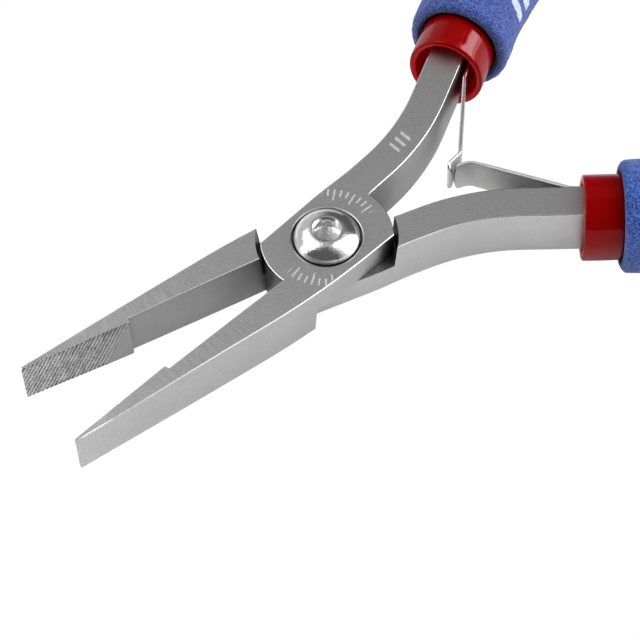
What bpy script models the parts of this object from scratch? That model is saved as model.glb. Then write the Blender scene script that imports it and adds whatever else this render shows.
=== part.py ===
"""Flat nose pliers for jewellery and wire work: two lap-jointed forged halves on a
button-head pivot screw, two return leaves that hook together between the handles,
red vinyl sleeves and blue foam grips.

Frame: metres, +Z up. The origin is on the pivot axis, level with the joint's flat
underside. The jaws point along -X, the handles along +X, and the screw head faces +Z.
Both halves are the same forging, one of them turned over about the X axis. They are
drawn about the joint's middle plane, which stands HALF_THICK above the origin.
Each half is drawn closed, its gripping face along the plane y = 0 and its handle
on the +Y side, and is then turned about the pivot to the opening that the leaves hold.
"""

import math

import bmesh
import bpy
from mathutils import Matrix, Vector

MM = 0.001
SIDES = ("upper", "lower")  # the handle at +Y, the handle at -Y

# --- driving dimensions, in millimetres and degrees ---------------------------------
HALF_OPENING = 8.37        # each half stands this far from closed when it is at rest

# joint
HALF_THICK = 3.175         # half of the joint's 6.35 mm
BOSS_R = 7.10              # the round boss of each half
POCKET_R = 7.35            # the round pocket that the other half's boss turns in
POCKET_FLARE = 0.27        # how much wider the pocket is at the outer face than at its floor
LAP_GAP = 0.03             # each lap face stands this far from the middle plane
EDGE = 0.20                # chamfer along the long edges
EDGE_SHARE = 0.3           # the chamfer takes at most this share of the width
HEAD_HALF_WIDTH = 4.79     # the head's -Y edge, beside the screw
HEAD_TOP = (4.33, 4.74)    # the head's +Y edge: at its jaw end, at its handle end
HEAD_TOP_END_X = 4.0       # handle end of the +Y edge
HEAD_FRONT_X = -4.2        # on the -Y edge, opposite the jaw end of the +Y edge
HEAD_TO_TANG = 0.15        # the head stops this far in front of the handle on the +Y side
BOSS_TO_TANG = 0.4         # the boss arc stops this many degrees short of the handle

# jaw
TIP_X = -35.2
PAD_FACE = 0.02            # the gripping face stands this far back from closed contact
PAD_END_X = -23.0          # the raised pad ends here
PAD_STEP = 0.12            # length of the step from the pad down to the relief
RELIEF = (0.52, 0.82)      # depth of the relief behind the pad: at the pad, at the joint
JAW_SLOPE = 0.152          # taper of the jaw's outer face in plan
JAW_BLEND = (-12.5, 1.0)   # where that taper fades into the head's straight edge
TIP_HALF_HEIGHT = 2.70     # half the height of the jaw at its tip
TIP_DROP = 0.45            # how far the ground-off outer corner sinks at the tip
TIP_DROP_X = -18.0         # where that grinding starts

# handle
TANG_WIDTH = 3.75
TANG_START = (7.5, 2.83)   # centreline of the handle where it leaves the boss
TANG_START_ANGLE = 3.0
TANG_STRAIGHT = 2.75
TANG_BEND_R = 26.5
TANG_ANGLE = 26.5
TANG_TO_MOUTH = 6.27       # straight run from the bend to the sleeve's mouth
GRIP_BEND_R = 150.0        # behind the mouth the handle curves slowly back
TANG_LENGTH = 66.0         # length of the handle behind the mouth
TANG_END_INSET = 0.35      # each side draws in this much at the handle's end

TANG_BEND = math.radians(TANG_ANGLE - TANG_START_ANGLE) * TANG_BEND_R
BEND_END = TANG_STRAIGHT + TANG_BEND
MOUTH = BEND_END + TANG_TO_MOUTH  # the sleeve's mouth, measured along the centreline

# sleeve: (half size across the handle, half size along Z)
SLEEVE_OUT = (4.30, 5.25)
SLEEVE_IN = (3.40, 4.35)
SLEEVE_LENGTH = 72.0
SLEEVE_BORE = 68.0
SLEEVE_BODY = (67.5, 0.6)  # ends of the full-size outside, behind the mouth
SLEEVE_BORE_START = 0.4
# rounded closed end: (distance from the end, growth on the outside size)
SLEEVE_END = ((0.0, -3.3), (0.6, -2.2), (1.5, -1.1), (2.8, -0.3))
# rounded mouth: (behind the mouth, size, growth on it)
SLEEVE_LIP = ((0.15, SLEEVE_OUT, -0.15), (0.0, SLEEVE_OUT, -0.45), (0.12, SLEEVE_IN, 0.05))

# foam
FOAM_START = 4.1
FOAM_END = 69.0
FOAM_WALL = 1.45           # foam beyond the sleeve at both ends
FOAM_SWELL = 0.55          # extra foam at the fullest part
FOAM_SWELL_RATE = 1.15     # above 1, the swell dies out before the rear end
FOAM_SWELL_POWER = 0.8     # below 1, the swell is fuller than a sine
FOAM_GAP = 0.15
FOAM_BODY_INSET = 1.0      # the swelling body starts and stops this far from the ends
# rounded rims: (distance from the end, growth on the wall)
FOAM_FRONT_RIM = ((0.05, -0.75), (0.35, -0.25))
FOAM_REAR_RIM = ((0.35, -0.25), (0.0, -0.75))
FOAM_BORE_FLARE = 0.25     # the bore widens this much at its front end
FOAM_BORE_INSET = (0.05, 0.3)  # distance of the straight bore from the rear, front end

# pivot screw
SHOULDER_R = 2.40
SHOULDER_Z = 0.02          # the shank meets the shoulder here
BORE_R = 2.48
SHANK_R = 2.00
SHANK_CHAMFER = 0.3
TAPPED_R = 2.06
HEAD_R = 3.55
HEAD_HEIGHT = 2.15
HEAD_RIM = 0.25            # upright rim below the dome
HEAD_GAP = 0.05            # between the counterbore's floor and the head
DOME_ANGLES = (0, 14, 28, 42, 55, 66)
DOME_POWER = 0.75          # below 1, the dome is squarer than an ellipse
DOME_RISE = 0.04           # rise of the top from the last dome ring to the axis
SEAT_Z = 2.55              # floor of the counterbore
COUNTERBORE_R = 3.75
COUNTERBORE_CHAMFER = 0.2
HEX_AF = 2.5
HEX_DEPTH = 1.3
HEX_TURN = 15

# return leaves
LEAF_T = 0.30
LEAF_HALF_HEIGHT = 2.15
LEAF_END_INSET = 0.35      # the free end is this much less in half height
LEAF_ROOT = 19.0           # rear end of the leaf, behind the mouth
LEAF_FLAT = 6.0            # it lies flat on the handle behind this point
LEAF_GAP = 0.06
LEAF_KNEE = (-1.3, -2.62)  # from the mouth along the handle, and off its centreline
LEAF_HINGE = (1.5, LEAF_KNEE[1] + 0.12)  # effective hinge of the bending leaf, likewise
LEAF_RADII = (30, 30, 30, 8, 1.5)  # corners from the root to the knee
HOOK_CORNER = (18.53, 1.26)    # rest position of the upper leaf's last bend
HOOK_CORNER_R = 0.9
HOOK_START = (16.95, 0.92)
HOOK_R = 0.52
HOOK_TURN = 125.0
REST_CORNER = (18.70, -0.27)   # rest position of the lower leaf's last bend
REST_CORNER_R = 2.0
REST_END = (16.95, 0.13)

# rivets
RIVET_AT = {"front": 9.5, "rear": 15.0}  # behind the mouth
RIVET_R = 0.80
RIVET_CLEARANCE = 0.08
RIVET_HEAD_R = 1.35
RIVET_HEAD_T = 0.45
RIVET_HEAD_CHAMFER = (0.25, 0.30)  # along the radius, along the axis
RIVET_HEAD_GAP = 0.04      # between the head and the leaf
RIVET_SUNK = 0.1           # its plain end stands this far below the handle's outer side

# cutting tools
TOOL_REACH = 5.0           # from the middle plane or centreline, past any outer face
BORE_TOOL_LOW = -1.0       # lower end of the bore tools, inside the pocket
SOCKET_TOOL_RISE = 1.0

# segment counts
POCKET_SEGMENTS = 72
COUNTERBORE_SEGMENTS = 56
SCREW_SEGMENTS = 48
BORE_SEGMENTS = 40
OVAL_SEGMENTS = 28
RIVET_SEGMENTS = 20
CORNER_POINTS = 7


# --- scene and mesh helpers ---------------------------------------------------------
def material(name, colour, roughness, metallic):
    mat = bpy.data.materials.new(name)
    mat.use_nodes = True
    shader = mat.node_tree.nodes["Principled BSDF"]
    shader.inputs["Base Color"].default_value = (*colour, 1)
    shader.inputs["Roughness"].default_value = roughness
    shader.inputs["Metallic"].default_value = metallic
    mat.diffuse_color = (*colour, 1)
    return mat


def side_materials(name, colours, roughness, metallic):
    """One material for each side, upper first."""
    return [
        material(f"{name}_{side}", colour, roughness, metallic)
        for side, colour in zip(SIDES, colours)
    ]


def finished(bm, name, mat=None, parent=None, smooth=35):
    """A bmesh in millimetres, as a named object in metres."""
    bmesh.ops.remove_doubles(bm, verts=bm.verts, dist=1e-5)
    bmesh.ops.recalc_face_normals(bm, faces=bm.faces)
    bm.transform(Matrix.Scale(MM, 4))
    mesh = bpy.data.meshes.new(name)
    bm.to_mesh(mesh)
    bm.free()
    mesh.shade_smooth()
    mesh.set_sharp_from_angle(angle=math.radians(smooth))
    obj = bpy.data.objects.new(name, mesh)
    bpy.context.scene.collection.objects.link(obj)
    if mat:
        mesh.materials.append(mat)
    if parent:
        obj.parent = parent
    return obj


def empty(name, matrix):
    obj = bpy.data.objects.new(name, None)
    bpy.context.scene.collection.objects.link(obj)
    obj.empty_display_size = 0.01
    obj.matrix_world = matrix
    return obj


def bridge(bm, rings, close=False):
    """Quads between rings of equal length, capped at both ends unless closed in a loop."""
    made = [[bm.verts.new(point) for point in ring] for ring in rings]
    count = len(made[0])
    pairs = list(zip(made, made[1:]))
    if close:
        pairs.append((made[-1], made[0]))
    for ring, following in pairs:
        for i in range(count):
            j = (i + 1) % count
            bm.faces.new((ring[i], ring[j], following[j], following[i]))
    if not close:
        bm.faces.new(made[0])
        bm.faces.new(made[-1])


def revolved(profile, segments):
    """A closed body turned about Z from a list of (radius, z) that starts and ends on the axis."""
    bm = bmesh.new()
    rings = []
    for radius, z in profile:
        if radius == 0:
            rings.append([bm.verts.new((0, 0, z))])
            continue
        angles = [2 * math.pi * k / segments for k in range(segments)]
        rings.append([
            bm.verts.new((radius * math.cos(angle), radius * math.sin(angle), z))
            for angle in angles
        ])
    for ring, following in zip(rings, rings[1:]):
        for i in range(segments):
            j = (i + 1) % segments
            if len(ring) == 1:
                bm.faces.new((ring[0], following[i], following[j]))
            elif len(following) == 1:
                bm.faces.new((ring[i], ring[j], following[0]))
            else:
                bm.faces.new((ring[i], ring[j], following[j], following[i]))
    return bm


def cylinder(radius, low, high, segments):
    return revolved([(0, low), (radius, low), (radius, high), (0, high)], segments)


def cutter(bm, name, parent=None):
    obj = finished(bm, name, parent=parent)
    obj.hide_render = True
    obj.display_type = "WIRE"
    return obj


def cut(obj, tool):
    mod = obj.modifiers.new("cut_" + tool.name, "BOOLEAN")
    mod.operation = "DIFFERENCE"
    mod.solver = "EXACT"
    mod.object = tool


# --- plane geometry -----------------------------------------------------------------
def spread(start, end, steps):
    """Evenly spaced values from start to end, both included."""
    return [start + (end - start) * k / steps for k in range(steps + 1)]


def line(start, end, steps):
    return list(zip(spread(start[0], end[0], steps), spread(start[1], end[1], steps)))


def on_circle(centre, radius, angle):
    return (centre[0] + radius * math.cos(angle), centre[1] + radius * math.sin(angle))


def arc(centre, radius, start, end, steps):
    """Points on an arc between two angles in degrees."""
    return [on_circle(centre, radius, math.radians(t)) for t in spread(start, end, steps)]


def rounded(points, radii):
    """A polyline with each inner corner rounded to its radius."""
    out = [points[0]]
    for before, corner, after, radius in zip(points, points[1:], points[2:], radii):
        to_before = Vector((before[0] - corner[0], before[1] - corner[1])).normalized()
        to_after = Vector((after[0] - corner[0], after[1] - corner[1])).normalized()
        half_angle = math.acos(to_before.dot(to_after)) / 2
        back = radius / math.tan(half_angle)
        bisector = (to_before + to_after).normalized()
        centre = Vector(corner) + bisector * (radius / math.sin(half_angle))
        first = Vector(corner) + to_before * back - centre
        last = Vector(corner) + to_after * back - centre
        sweep = math.atan2(first.x * last.y - first.y * last.x, first.dot(last))
        for angle in spread(0, sweep, CORNER_POINTS - 1):
            out.append((
                centre.x + first.x * math.cos(angle) - first.y * math.sin(angle),
                centre.y + first.x * math.sin(angle) + first.y * math.cos(angle),
            ))
    out.append(points[-1])
    return out


# --- the handle's centreline --------------------------------------------------------
# (length, radius) of each run; a positive radius turns towards +Y, None is straight
CENTRELINE_RUNS = (
    (TANG_STRAIGHT, None),
    (TANG_BEND, TANG_BEND_R),
    (TANG_TO_MOUTH, None),
    (math.inf, -GRIP_BEND_R),
)


def centreline(distance):
    """Point and direction (radians) at a distance along from the boss, in the closed position."""
    x, y = TANG_START
    angle = math.radians(TANG_START_ANGLE)
    for length, radius in CENTRELINE_RUNS:
        run = min(distance, length)
        distance -= run
        if radius is None:
            x += run * math.cos(angle)
            y += run * math.sin(angle)
        else:
            turned = angle + run / radius
            x += radius * (math.sin(turned) - math.sin(angle))
            y += radius * (math.cos(angle) - math.cos(turned))
            angle = turned
    return (x, y), angle


def across(distance, offset):
    """The point at an offset to the outside of the centreline."""
    (x, y), angle = centreline(distance)
    return (x - offset * math.sin(angle), y + offset * math.cos(angle))


# --- one half of the pliers ---------------------------------------------------------
def jaw_outer(x):
    """Y of the outer face of the jaw and head."""
    front, rear = JAW_BLEND
    if x >= rear:
        return -HEAD_HALF_WIDTH
    if x >= front:
        return -HEAD_HALF_WIDTH + JAW_SLOPE * (rear - x) ** 2 / (2 * (rear - front))
    return -HEAD_HALF_WIDTH + JAW_SLOPE * (rear - front) / 2 + JAW_SLOPE * (front - x)


def half_height(x):
    t = max(0.0, (-BOSS_R - x) / (-BOSS_R - TIP_X))
    return HALF_THICK - (HALF_THICK - TIP_HALF_HEIGHT) * t * t


def outer_drop(x):
    t = max(0.0, (TIP_DROP_X - x) / (TIP_DROP_X - TIP_X))
    return TIP_DROP * t * t


def outer_edge(start_x, end_x, steps):
    return [(x, jaw_outer(x)) for x in spread(start_x, end_x, steps)]


def boss_x(y):
    return math.sqrt(BOSS_R ** 2 - y ** 2)


def boss_angle(y):
    return math.degrees(math.asin(y / BOSS_R))


def stations():
    """Pairs of points on the +Y and -Y long sides, from the tip to the end of the handle."""
    pad_depth, joint_depth = RELIEF
    top_front, top_rear = HEAD_TOP
    relief_x = PAD_END_X + PAD_STEP
    boss_front = -boss_x(joint_depth)
    top_end = (HEAD_TOP_END_X, top_rear)
    tang_outer = across(0.0, TANG_WIDTH / 2)
    tang_inner = across(0.0, -TANG_WIDTH / 2)

    # pad, then the relief behind it
    rows = list(zip(
        line((TIP_X, -PAD_FACE), (PAD_END_X, -PAD_FACE), 5),
        outer_edge(TIP_X, PAD_END_X, 5),
    ))
    rows += zip(
        line((relief_x, -pad_depth), (boss_front, -joint_depth), 7),
        outer_edge(relief_x, boss_front, 7),
    )
    # each stretch of the head starts on the last row of the one before, so that row is skipped
    head = (
        # boss arc on the +Y side
        (arc((0, 0), BOSS_R, 180 + boss_angle(joint_depth), 180 - boss_angle(top_front), 7),
         outer_edge(boss_front, HEAD_FRONT_X, 7)),
        # long edges beside the screw
        (line((-boss_x(top_front), top_front), top_end, 6),
         outer_edge(HEAD_FRONT_X, boss_x(HEAD_HALF_WIDTH), 6)),
        # boss arc on the -Y side, round to the handle
        (line(top_end, (tang_outer[0] - HEAD_TO_TANG, tang_outer[1]), 7),
         arc((0, 0), BOSS_R, -boss_angle(HEAD_HALF_WIDTH),
             boss_angle(tang_inner[1]) - BOSS_TO_TANG, 7)),
    )
    for plus_side, minus_side in head:
        rows += list(zip(plus_side, minus_side))[1:]
    # handle, drawn in at its last row
    distances = [0.0] + spread(TANG_STRAIGHT, BEND_END, 8) + spread(MOUTH, MOUTH + TANG_LENGTH, 9)
    insets = [0.0] * (len(distances) - 1) + [TANG_END_INSET]
    for distance, inset in zip(distances, insets):
        side = TANG_WIDTH / 2 - inset
        rows.append((across(distance, side), across(distance, -side)))
    return rows


def half_section(plus, minus):
    """Chamfered section between a point on the +Y side and one on the -Y side."""
    (ax, ay), (bx, by) = plus, minus
    width = math.hypot(bx - ax, by - ay)
    chamfer = min(EDGE, width * EDGE_SHARE)
    inset_x = (bx - ax) / width * chamfer
    inset_y = (by - ay) / width * chamfer
    top = half_height(ax)
    low = -top
    sunk = top - outer_drop(ax)
    return [
        (ax, ay, low + chamfer),
        (ax, ay, top - chamfer),
        (ax + inset_x, ay + inset_y, top),
        (bx - inset_x, by - inset_y, sunk),
        (bx, by, sunk - chamfer),
        (bx, by, low + chamfer),
        (bx - inset_x, by - inset_y, low),
        (ax + inset_x, ay + inset_y, low),
    ]


def half(name, mat, parent):
    bm = bmesh.new()
    bridge(bm, [half_section(plus, minus) for plus, minus in stations()])
    obj = finished(bm, name, mat, parent, smooth=22)
    open_r = POCKET_R + POCKET_FLARE * TOOL_REACH / HALF_THICK
    pocket = revolved(
        [(0, -TOOL_REACH), (open_r, -TOOL_REACH), (POCKET_R, LAP_GAP), (0, LAP_GAP)],
        POCKET_SEGMENTS,
    )
    cut(obj, cutter(pocket, name + "_pocket_tool", parent))
    return obj


def cut_bore(obj, parent, radius, tag):
    bore = cylinder(radius, BORE_TOOL_LOW, TOOL_REACH, BORE_SEGMENTS)
    cut(obj, cutter(bore, obj.name + tag, parent))


def cut_counterbore(obj, parent):
    chamfer = COUNTERBORE_CHAMFER
    bm = revolved([
        (0, SEAT_Z),
        (COUNTERBORE_R, SEAT_Z),
        (COUNTERBORE_R, HALF_THICK - chamfer),
        (COUNTERBORE_R + 2 * chamfer, HALF_THICK + chamfer),
        (0, HALF_THICK + chamfer),
    ], COUNTERBORE_SEGMENTS)
    cut(obj, cutter(bm, obj.name + "_counterbore_tool", parent))


# --- pivot screw --------------------------------------------------------------------
def pivot_screw(mat):
    """Shank flush with the underside, shoulder, and domed head with a hexagon socket."""
    low = -HALF_THICK
    under = SEAT_Z + HEAD_GAP
    dome = []
    for degrees in DOME_ANGLES:
        angle = math.radians(degrees)
        rise = HEAD_RIM + (HEAD_HEIGHT - HEAD_RIM) * math.sin(angle)
        dome.append((HEAD_R * math.cos(angle) ** DOME_POWER, under + rise))
    dome_top = dome[-1][1]
    shank = [
        (0, low), (SHANK_R - SHANK_CHAMFER, low), (SHANK_R, low + SHANK_CHAMFER),
        (SHANK_R, SHOULDER_Z), (SHOULDER_R, SHOULDER_Z), (SHOULDER_R, under), (HEAD_R, under),
    ]
    profile = shank + dome + [(0, dome_top + DOME_RISE)]
    screw = finished(revolved(profile, SCREW_SEGMENTS), "pivot_screw", mat, smooth=40)

    corner_r = HEX_AF / math.sqrt(3)
    corners = [
        on_circle((0, 0), corner_r, math.radians(60 * k + HEX_TURN)) for k in range(6)
    ]
    socket = bmesh.new()
    bridge(socket, [
        [(x, y, z) for x, y in corners]
        for z in (dome_top - HEX_DEPTH, dome_top + SOCKET_TOOL_RISE)
    ])
    tool = cutter(socket, "pivot_screw_socket_tool")
    cut(screw, tool)
    for obj in (screw, tool):
        obj.location.z = HALF_THICK * MM


# --- sleeves and foam, swept along the handle ---------------------------------------
def oval(behind, size, grow=0.0):
    """A ring around the handle behind the mouth, its half sizes grown by an amount."""
    ring = []
    for k in range(OVAL_SEGMENTS):
        angle = 2 * math.pi * k / OVAL_SEGMENTS
        x, y = across(MOUTH + behind, (size[0] + grow) * math.cos(angle))
        ring.append((x, y, (size[1] + grow) * math.sin(angle)))
    return ring


def sleeve(name, mat, parent):
    rings = [oval(SLEEVE_LENGTH - back, SLEEVE_OUT, grow) for back, grow in SLEEVE_END]
    rings += [oval(behind, SLEEVE_OUT) for behind in spread(*SLEEVE_BODY, 8)]
    rings += [oval(*lip) for lip in SLEEVE_LIP]
    rings += [oval(behind, SLEEVE_IN) for behind in spread(SLEEVE_BORE_START, SLEEVE_BORE, 8)]
    bm = bmesh.new()
    bridge(bm, rings)
    finished(bm, name, mat, parent, smooth=50)


def foam_wall(t):
    """Foam beyond the sleeve, from t = 0 at the front to t = 1 at the rear."""
    phase = math.pi * min(1.0, t * FOAM_SWELL_RATE)
    return FOAM_WALL + FOAM_SWELL * math.sin(phase) ** FOAM_SWELL_POWER


def foam(name, mat, parent):
    body = spread(FOAM_START + FOAM_BODY_INSET, FOAM_END - FOAM_BODY_INSET, 8)
    bore_rear, bore_front = FOAM_BORE_INSET
    # (behind the mouth, growth on the sleeve's outside)
    rows = [(FOAM_START, FOAM_GAP + FOAM_BORE_FLARE)]
    rows += [(FOAM_START + inset, FOAM_WALL + grow) for inset, grow in FOAM_FRONT_RIM]
    rows += [(behind, foam_wall(t)) for behind, t in zip(body, spread(0, 1, 8))]
    rows += [(FOAM_END - inset, FOAM_WALL + grow) for inset, grow in FOAM_REAR_RIM]
    bore = spread(FOAM_END - bore_rear, FOAM_START + bore_front, 8)
    rows += [(behind, FOAM_GAP) for behind in bore]
    bm = bmesh.new()
    bridge(bm, [oval(behind, SLEEVE_OUT, grow) for behind, grow in rows], close=True)
    finished(bm, name, mat, parent, smooth=50)


# --- rivets -------------------------------------------------------------------------
def stand_across(bm, behind):
    """Move a body to the centreline behind the mouth, its Z along the outward normal."""
    (x, y), angle = centreline(MOUTH + behind)
    turn = Matrix.Rotation(angle, 4, "Z") @ Matrix.Rotation(math.radians(-90), 4, "X")
    bm.transform(Matrix.Translation((x, y, 0)) @ turn)


def rivet(name, mat, parent, behind):
    """A rivet through the handle, its flat head on the leaf."""
    seat = -(TANG_WIDTH / 2 + LEAF_GAP + LEAF_T + RIVET_HEAD_GAP)
    head = seat - RIVET_HEAD_T
    end = TANG_WIDTH / 2 - RIVET_SUNK
    chamfer_r, chamfer_z = RIVET_HEAD_CHAMFER
    bm = revolved([
        (0, head), (RIVET_HEAD_R - chamfer_r, head), (RIVET_HEAD_R, head + chamfer_z),
        (RIVET_HEAD_R, seat), (RIVET_R, seat), (RIVET_R, end), (0, end),
    ], RIVET_SEGMENTS)
    stand_across(bm, behind)
    finished(bm, name, mat, parent)


def rivet_tool(name, parent, behind):
    bm = cylinder(RIVET_R + RIVET_CLEARANCE, -TOOL_REACH, TOOL_REACH, RIVET_SEGMENTS)
    stand_across(bm, behind)
    return cutter(bm, name, parent)


# --- leaves -------------------------------------------------------------------------
def at_rest(behind, offset, side):
    """Rest position of a point off the handle: side 1 is the upper half, -1 the lower."""
    x, y = across(MOUTH + behind, offset)
    turn = math.radians(HALF_OPENING)
    return (
        x * math.cos(turn) - y * math.sin(turn),
        side * (x * math.sin(turn) + y * math.cos(turn)),
    )


def leaf_line(side, corner, end, corner_r):
    """Flat along the handle, easing off it to the knee, then to the last bend and the end."""
    offset = -(TANG_WIDTH / 2 + LEAF_GAP + LEAF_T / 2)
    points = [at_rest(behind, offset, side) for behind in spread(LEAF_ROOT, LEAF_FLAT, 4)]
    points += [at_rest(*LEAF_KNEE, side), corner, end]
    return rounded(points, (*LEAF_RADII, corner_r))


def hook(points):
    """The curled end: a tight turn about the other leaf's tip."""
    (ax, ay), (bx, by) = points[-2:]
    start = math.atan2(by - ay, bx - ax) - math.pi / 2
    centre = on_circle((bx, by), -HOOK_R, start)
    start = math.degrees(start)
    return arc(centre, HOOK_R, start, start + HOOK_TURN, 9)[1:]


def leaf(name, mat, points, side):
    """A strip of constant thickness along a line in plan, its origin on its hinge."""
    hinge_x, hinge_y = at_rest(*LEAF_HINGE, side)
    last = len(points) - 1
    rings = []
    for i, (x, y) in enumerate(points):
        before = points[max(0, i - 1)]
        after = points[min(last, i + 1)]
        along = Vector((after[0] - before[0], after[1] - before[1])).normalized()
        normal = Vector((-along.y, along.x)) * (LEAF_T / 2)
        height = LEAF_HALF_HEIGHT - (LEAF_END_INSET if i == last else 0.0)
        left = (x + normal.x - hinge_x, y + normal.y - hinge_y)
        right = (x - normal.x - hinge_x, y - normal.y - hinge_y)
        rings.append([(*left, -height), (*left, height), (*right, height), (*right, -height)])
    bm = bmesh.new()
    bridge(bm, rings)
    obj = finished(bm, name, mat, smooth=30)
    obj.location = (hinge_x * MM, hinge_y * MM, HALF_THICK * MM)
    return obj


# --- build --------------------------------------------------------------------------
for old in list(bpy.data.objects):
    bpy.data.objects.remove(old, do_unlink=True)
bpy.context.scene.unit_settings.scale_length = 1.0

steel = side_materials(
    "satin_steel", ((0.56, 0.55, 0.53), (0.54, 0.53, 0.51)), roughness=0.38, metallic=1.0)
chrome = material("bright_screw", (0.78, 0.78, 0.78), roughness=0.08, metallic=1.0)
spring = side_materials(
    "spring_steel", ((0.62, 0.61, 0.58), (0.60, 0.59, 0.56)), roughness=0.22, metallic=1.0)
vinyl = side_materials(
    "red_vinyl", ((0.42, 0.004, 0.006), (0.40, 0.004, 0.006)), roughness=0.16, metallic=0.0)
blue = side_materials(
    "blue_foam", ((0.06, 0.11, 0.42), (0.06, 0.11, 0.40)), roughness=0.95, metallic=0.0)
rivet_steel = [
    material(f"rivet_steel_{k}", (0.5, 0.5, 0.49), roughness=0.35, metallic=1.0)
    for k in range(4)
]

middle = Matrix.Translation((0, 0, HALF_THICK * MM))
opening = math.radians(HALF_OPENING)
turned_over = Matrix.Rotation(math.pi, 4, "X")
axes = (
    empty("upper_axis", middle @ Matrix.Rotation(opening, 4, "Z")),
    empty("lower_axis", middle @ Matrix.Rotation(-opening, 4, "Z") @ turned_over),
)

halves = [half(side + "_half", steel[k], axes[k]) for k, side in enumerate(SIDES)]
cut_bore(halves[0], axes[0], BORE_R, "_bore_tool")
cut_counterbore(halves[0], axes[0])
cut_bore(halves[1], axes[1], TAPPED_R, "_tapped_tool")
pivot_screw(chrome)

hooked_line = leaf_line(1, HOOK_CORNER, HOOK_START, HOOK_CORNER_R)
hooked_line += hook(hooked_line)
resting_line = leaf_line(-1, REST_CORNER, REST_END, REST_CORNER_R)
leaves = (
    leaf("leaf_spring_upper", spring[0], hooked_line, 1),
    leaf("leaf_spring_lower", spring[1], resting_line, -1),
)

for k, side in enumerate(SIDES):
    sleeve("red_sleeve_" + side, vinyl[k], axes[k])
    foam("foam_grip_" + side, blue[k], axes[k])
    for j, (place, behind) in enumerate(RIVET_AT.items()):
        rivet(f"leaf_rivet_{side}_{place}", rivet_steel[2 * k + j], axes[k], behind)
        tool = rivet_tool(f"{side}_half_rivet_tool_{place}", axes[k], behind)
        cut(halves[k], tool)
        cut(leaves[k], tool)
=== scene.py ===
"""Flat nose pliers, half open: two steel halves, a button head screw, two return leaves,
and vinyl sleeves inside foam grips.

The screw's axis is the world's Z through the origin. The jaws point to -X and the handles
to +X. Each half is drawn closed, with its jaw on the -Y side of the joint line and its
handle on the +Y side, and is then turned open. The upper half keeps its handle at +Y; the
lower one is the same plan turned over. Shapes are in millimetres about the middle plane
of the joint; LIFT raises that plane so that the steel stands on z = 0.
"""

import math
from contextlib import contextmanager
from functools import reduce

import bmesh
import bpy
import numpy as np
from mathutils import Matrix, Vector


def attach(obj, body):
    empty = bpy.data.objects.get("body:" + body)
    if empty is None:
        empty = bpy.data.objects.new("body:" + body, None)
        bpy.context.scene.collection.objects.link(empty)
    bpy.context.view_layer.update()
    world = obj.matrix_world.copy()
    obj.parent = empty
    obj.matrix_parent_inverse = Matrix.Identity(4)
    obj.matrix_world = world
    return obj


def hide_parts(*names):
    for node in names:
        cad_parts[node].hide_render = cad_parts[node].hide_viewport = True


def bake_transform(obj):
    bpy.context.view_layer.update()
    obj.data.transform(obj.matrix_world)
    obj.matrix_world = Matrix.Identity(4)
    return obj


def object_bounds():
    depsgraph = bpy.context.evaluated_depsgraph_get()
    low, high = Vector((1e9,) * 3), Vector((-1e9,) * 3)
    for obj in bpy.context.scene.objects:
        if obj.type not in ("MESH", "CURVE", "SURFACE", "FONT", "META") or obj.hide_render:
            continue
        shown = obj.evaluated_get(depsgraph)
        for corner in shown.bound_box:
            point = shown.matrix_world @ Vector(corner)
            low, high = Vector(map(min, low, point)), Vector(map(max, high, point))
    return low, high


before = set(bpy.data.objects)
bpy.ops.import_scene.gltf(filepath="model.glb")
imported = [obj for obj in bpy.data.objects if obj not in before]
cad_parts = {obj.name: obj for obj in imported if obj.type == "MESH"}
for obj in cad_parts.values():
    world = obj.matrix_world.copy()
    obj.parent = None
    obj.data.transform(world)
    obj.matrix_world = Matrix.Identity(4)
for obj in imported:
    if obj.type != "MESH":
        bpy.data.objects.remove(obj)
bpy.context.view_layer.update()
scene = bpy.context.scene

# =====================================================================================
# sizes, in millimetres and degrees
# =====================================================================================
MM = 0.001
HALF_OPENING = 8.37                   # each half's turn from closed

# joint and head
HALF_THICK = 3.175
LIFT = HALF_THICK
BOSS_R = 7.10
POCKET_R = BOSS_R + 0.25              # at the floor of the pocket
POCKET_FLARE = 0.27                   # growth of that radius over HALF_THICK
LAP_GAP = 0.03
HEAD_HALF_WIDTH = 4.79
HEAD_TOP_X = 4.0                      # where the head's +Y side is highest
HEAD_TOP = (4.33, 4.74)               # y of the +Y side: at the boss's jaw side, at HEAD_TOP_X

# jaw
TIP_X = -35.2
PAD_FACE = 0.02                       # the gripping face's distance from the joint line
PAD_END_X = -23.0
RELIEF = (0.52, 0.82)                 # set-back behind the pad: at the pad, at the boss
JAW_SLOPE = 0.152
JAW_BLEND = (-12.5, 1.0)              # x range in which the outer side takes up its slope
TIP_HALF_HEIGHT = 2.70
TIP_DROP = 0.45
TIP_DROP_X = -18.0
GROOVE_ANGLE = 62.8
GROOVE_PITCH = 0.50
GROOVE_DEPTH = 0.055

# handle: a straight, a bend outwards, a straight to the sleeve's mouth, a slow bend back
TANG_WIDTH = 3.75
TANG_START = (7.5, 2.83)
TANG_START_ANGLE = 3.0
TANG_STRAIGHT = 2.75
TANG_BEND_R = 26.5
TANG_ANGLE = 26.5
TANG_TO_MOUTH = 6.27
GRIP_BEND_R = 150.0
TANG_LENGTH = 66.0                    # from the mouth to the handle's end
TANG_END_TRIM = 0.35                  # narrowing of the last station, on each side
BEND_END = TANG_STRAIGHT + math.radians(TANG_ANGLE - TANG_START_ANGLE) * TANG_BEND_R
MOUTH = BEND_END + TANG_TO_MOUTH
TANG_RUNS = (                         # length, radius (positive turns to +Y, None is straight)
    (TANG_STRAIGHT, None),
    (BEND_END - TANG_STRAIGHT, TANG_BEND_R),
    (TANG_TO_MOUTH, None),
    (math.inf, -GRIP_BEND_R),
)

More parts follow.
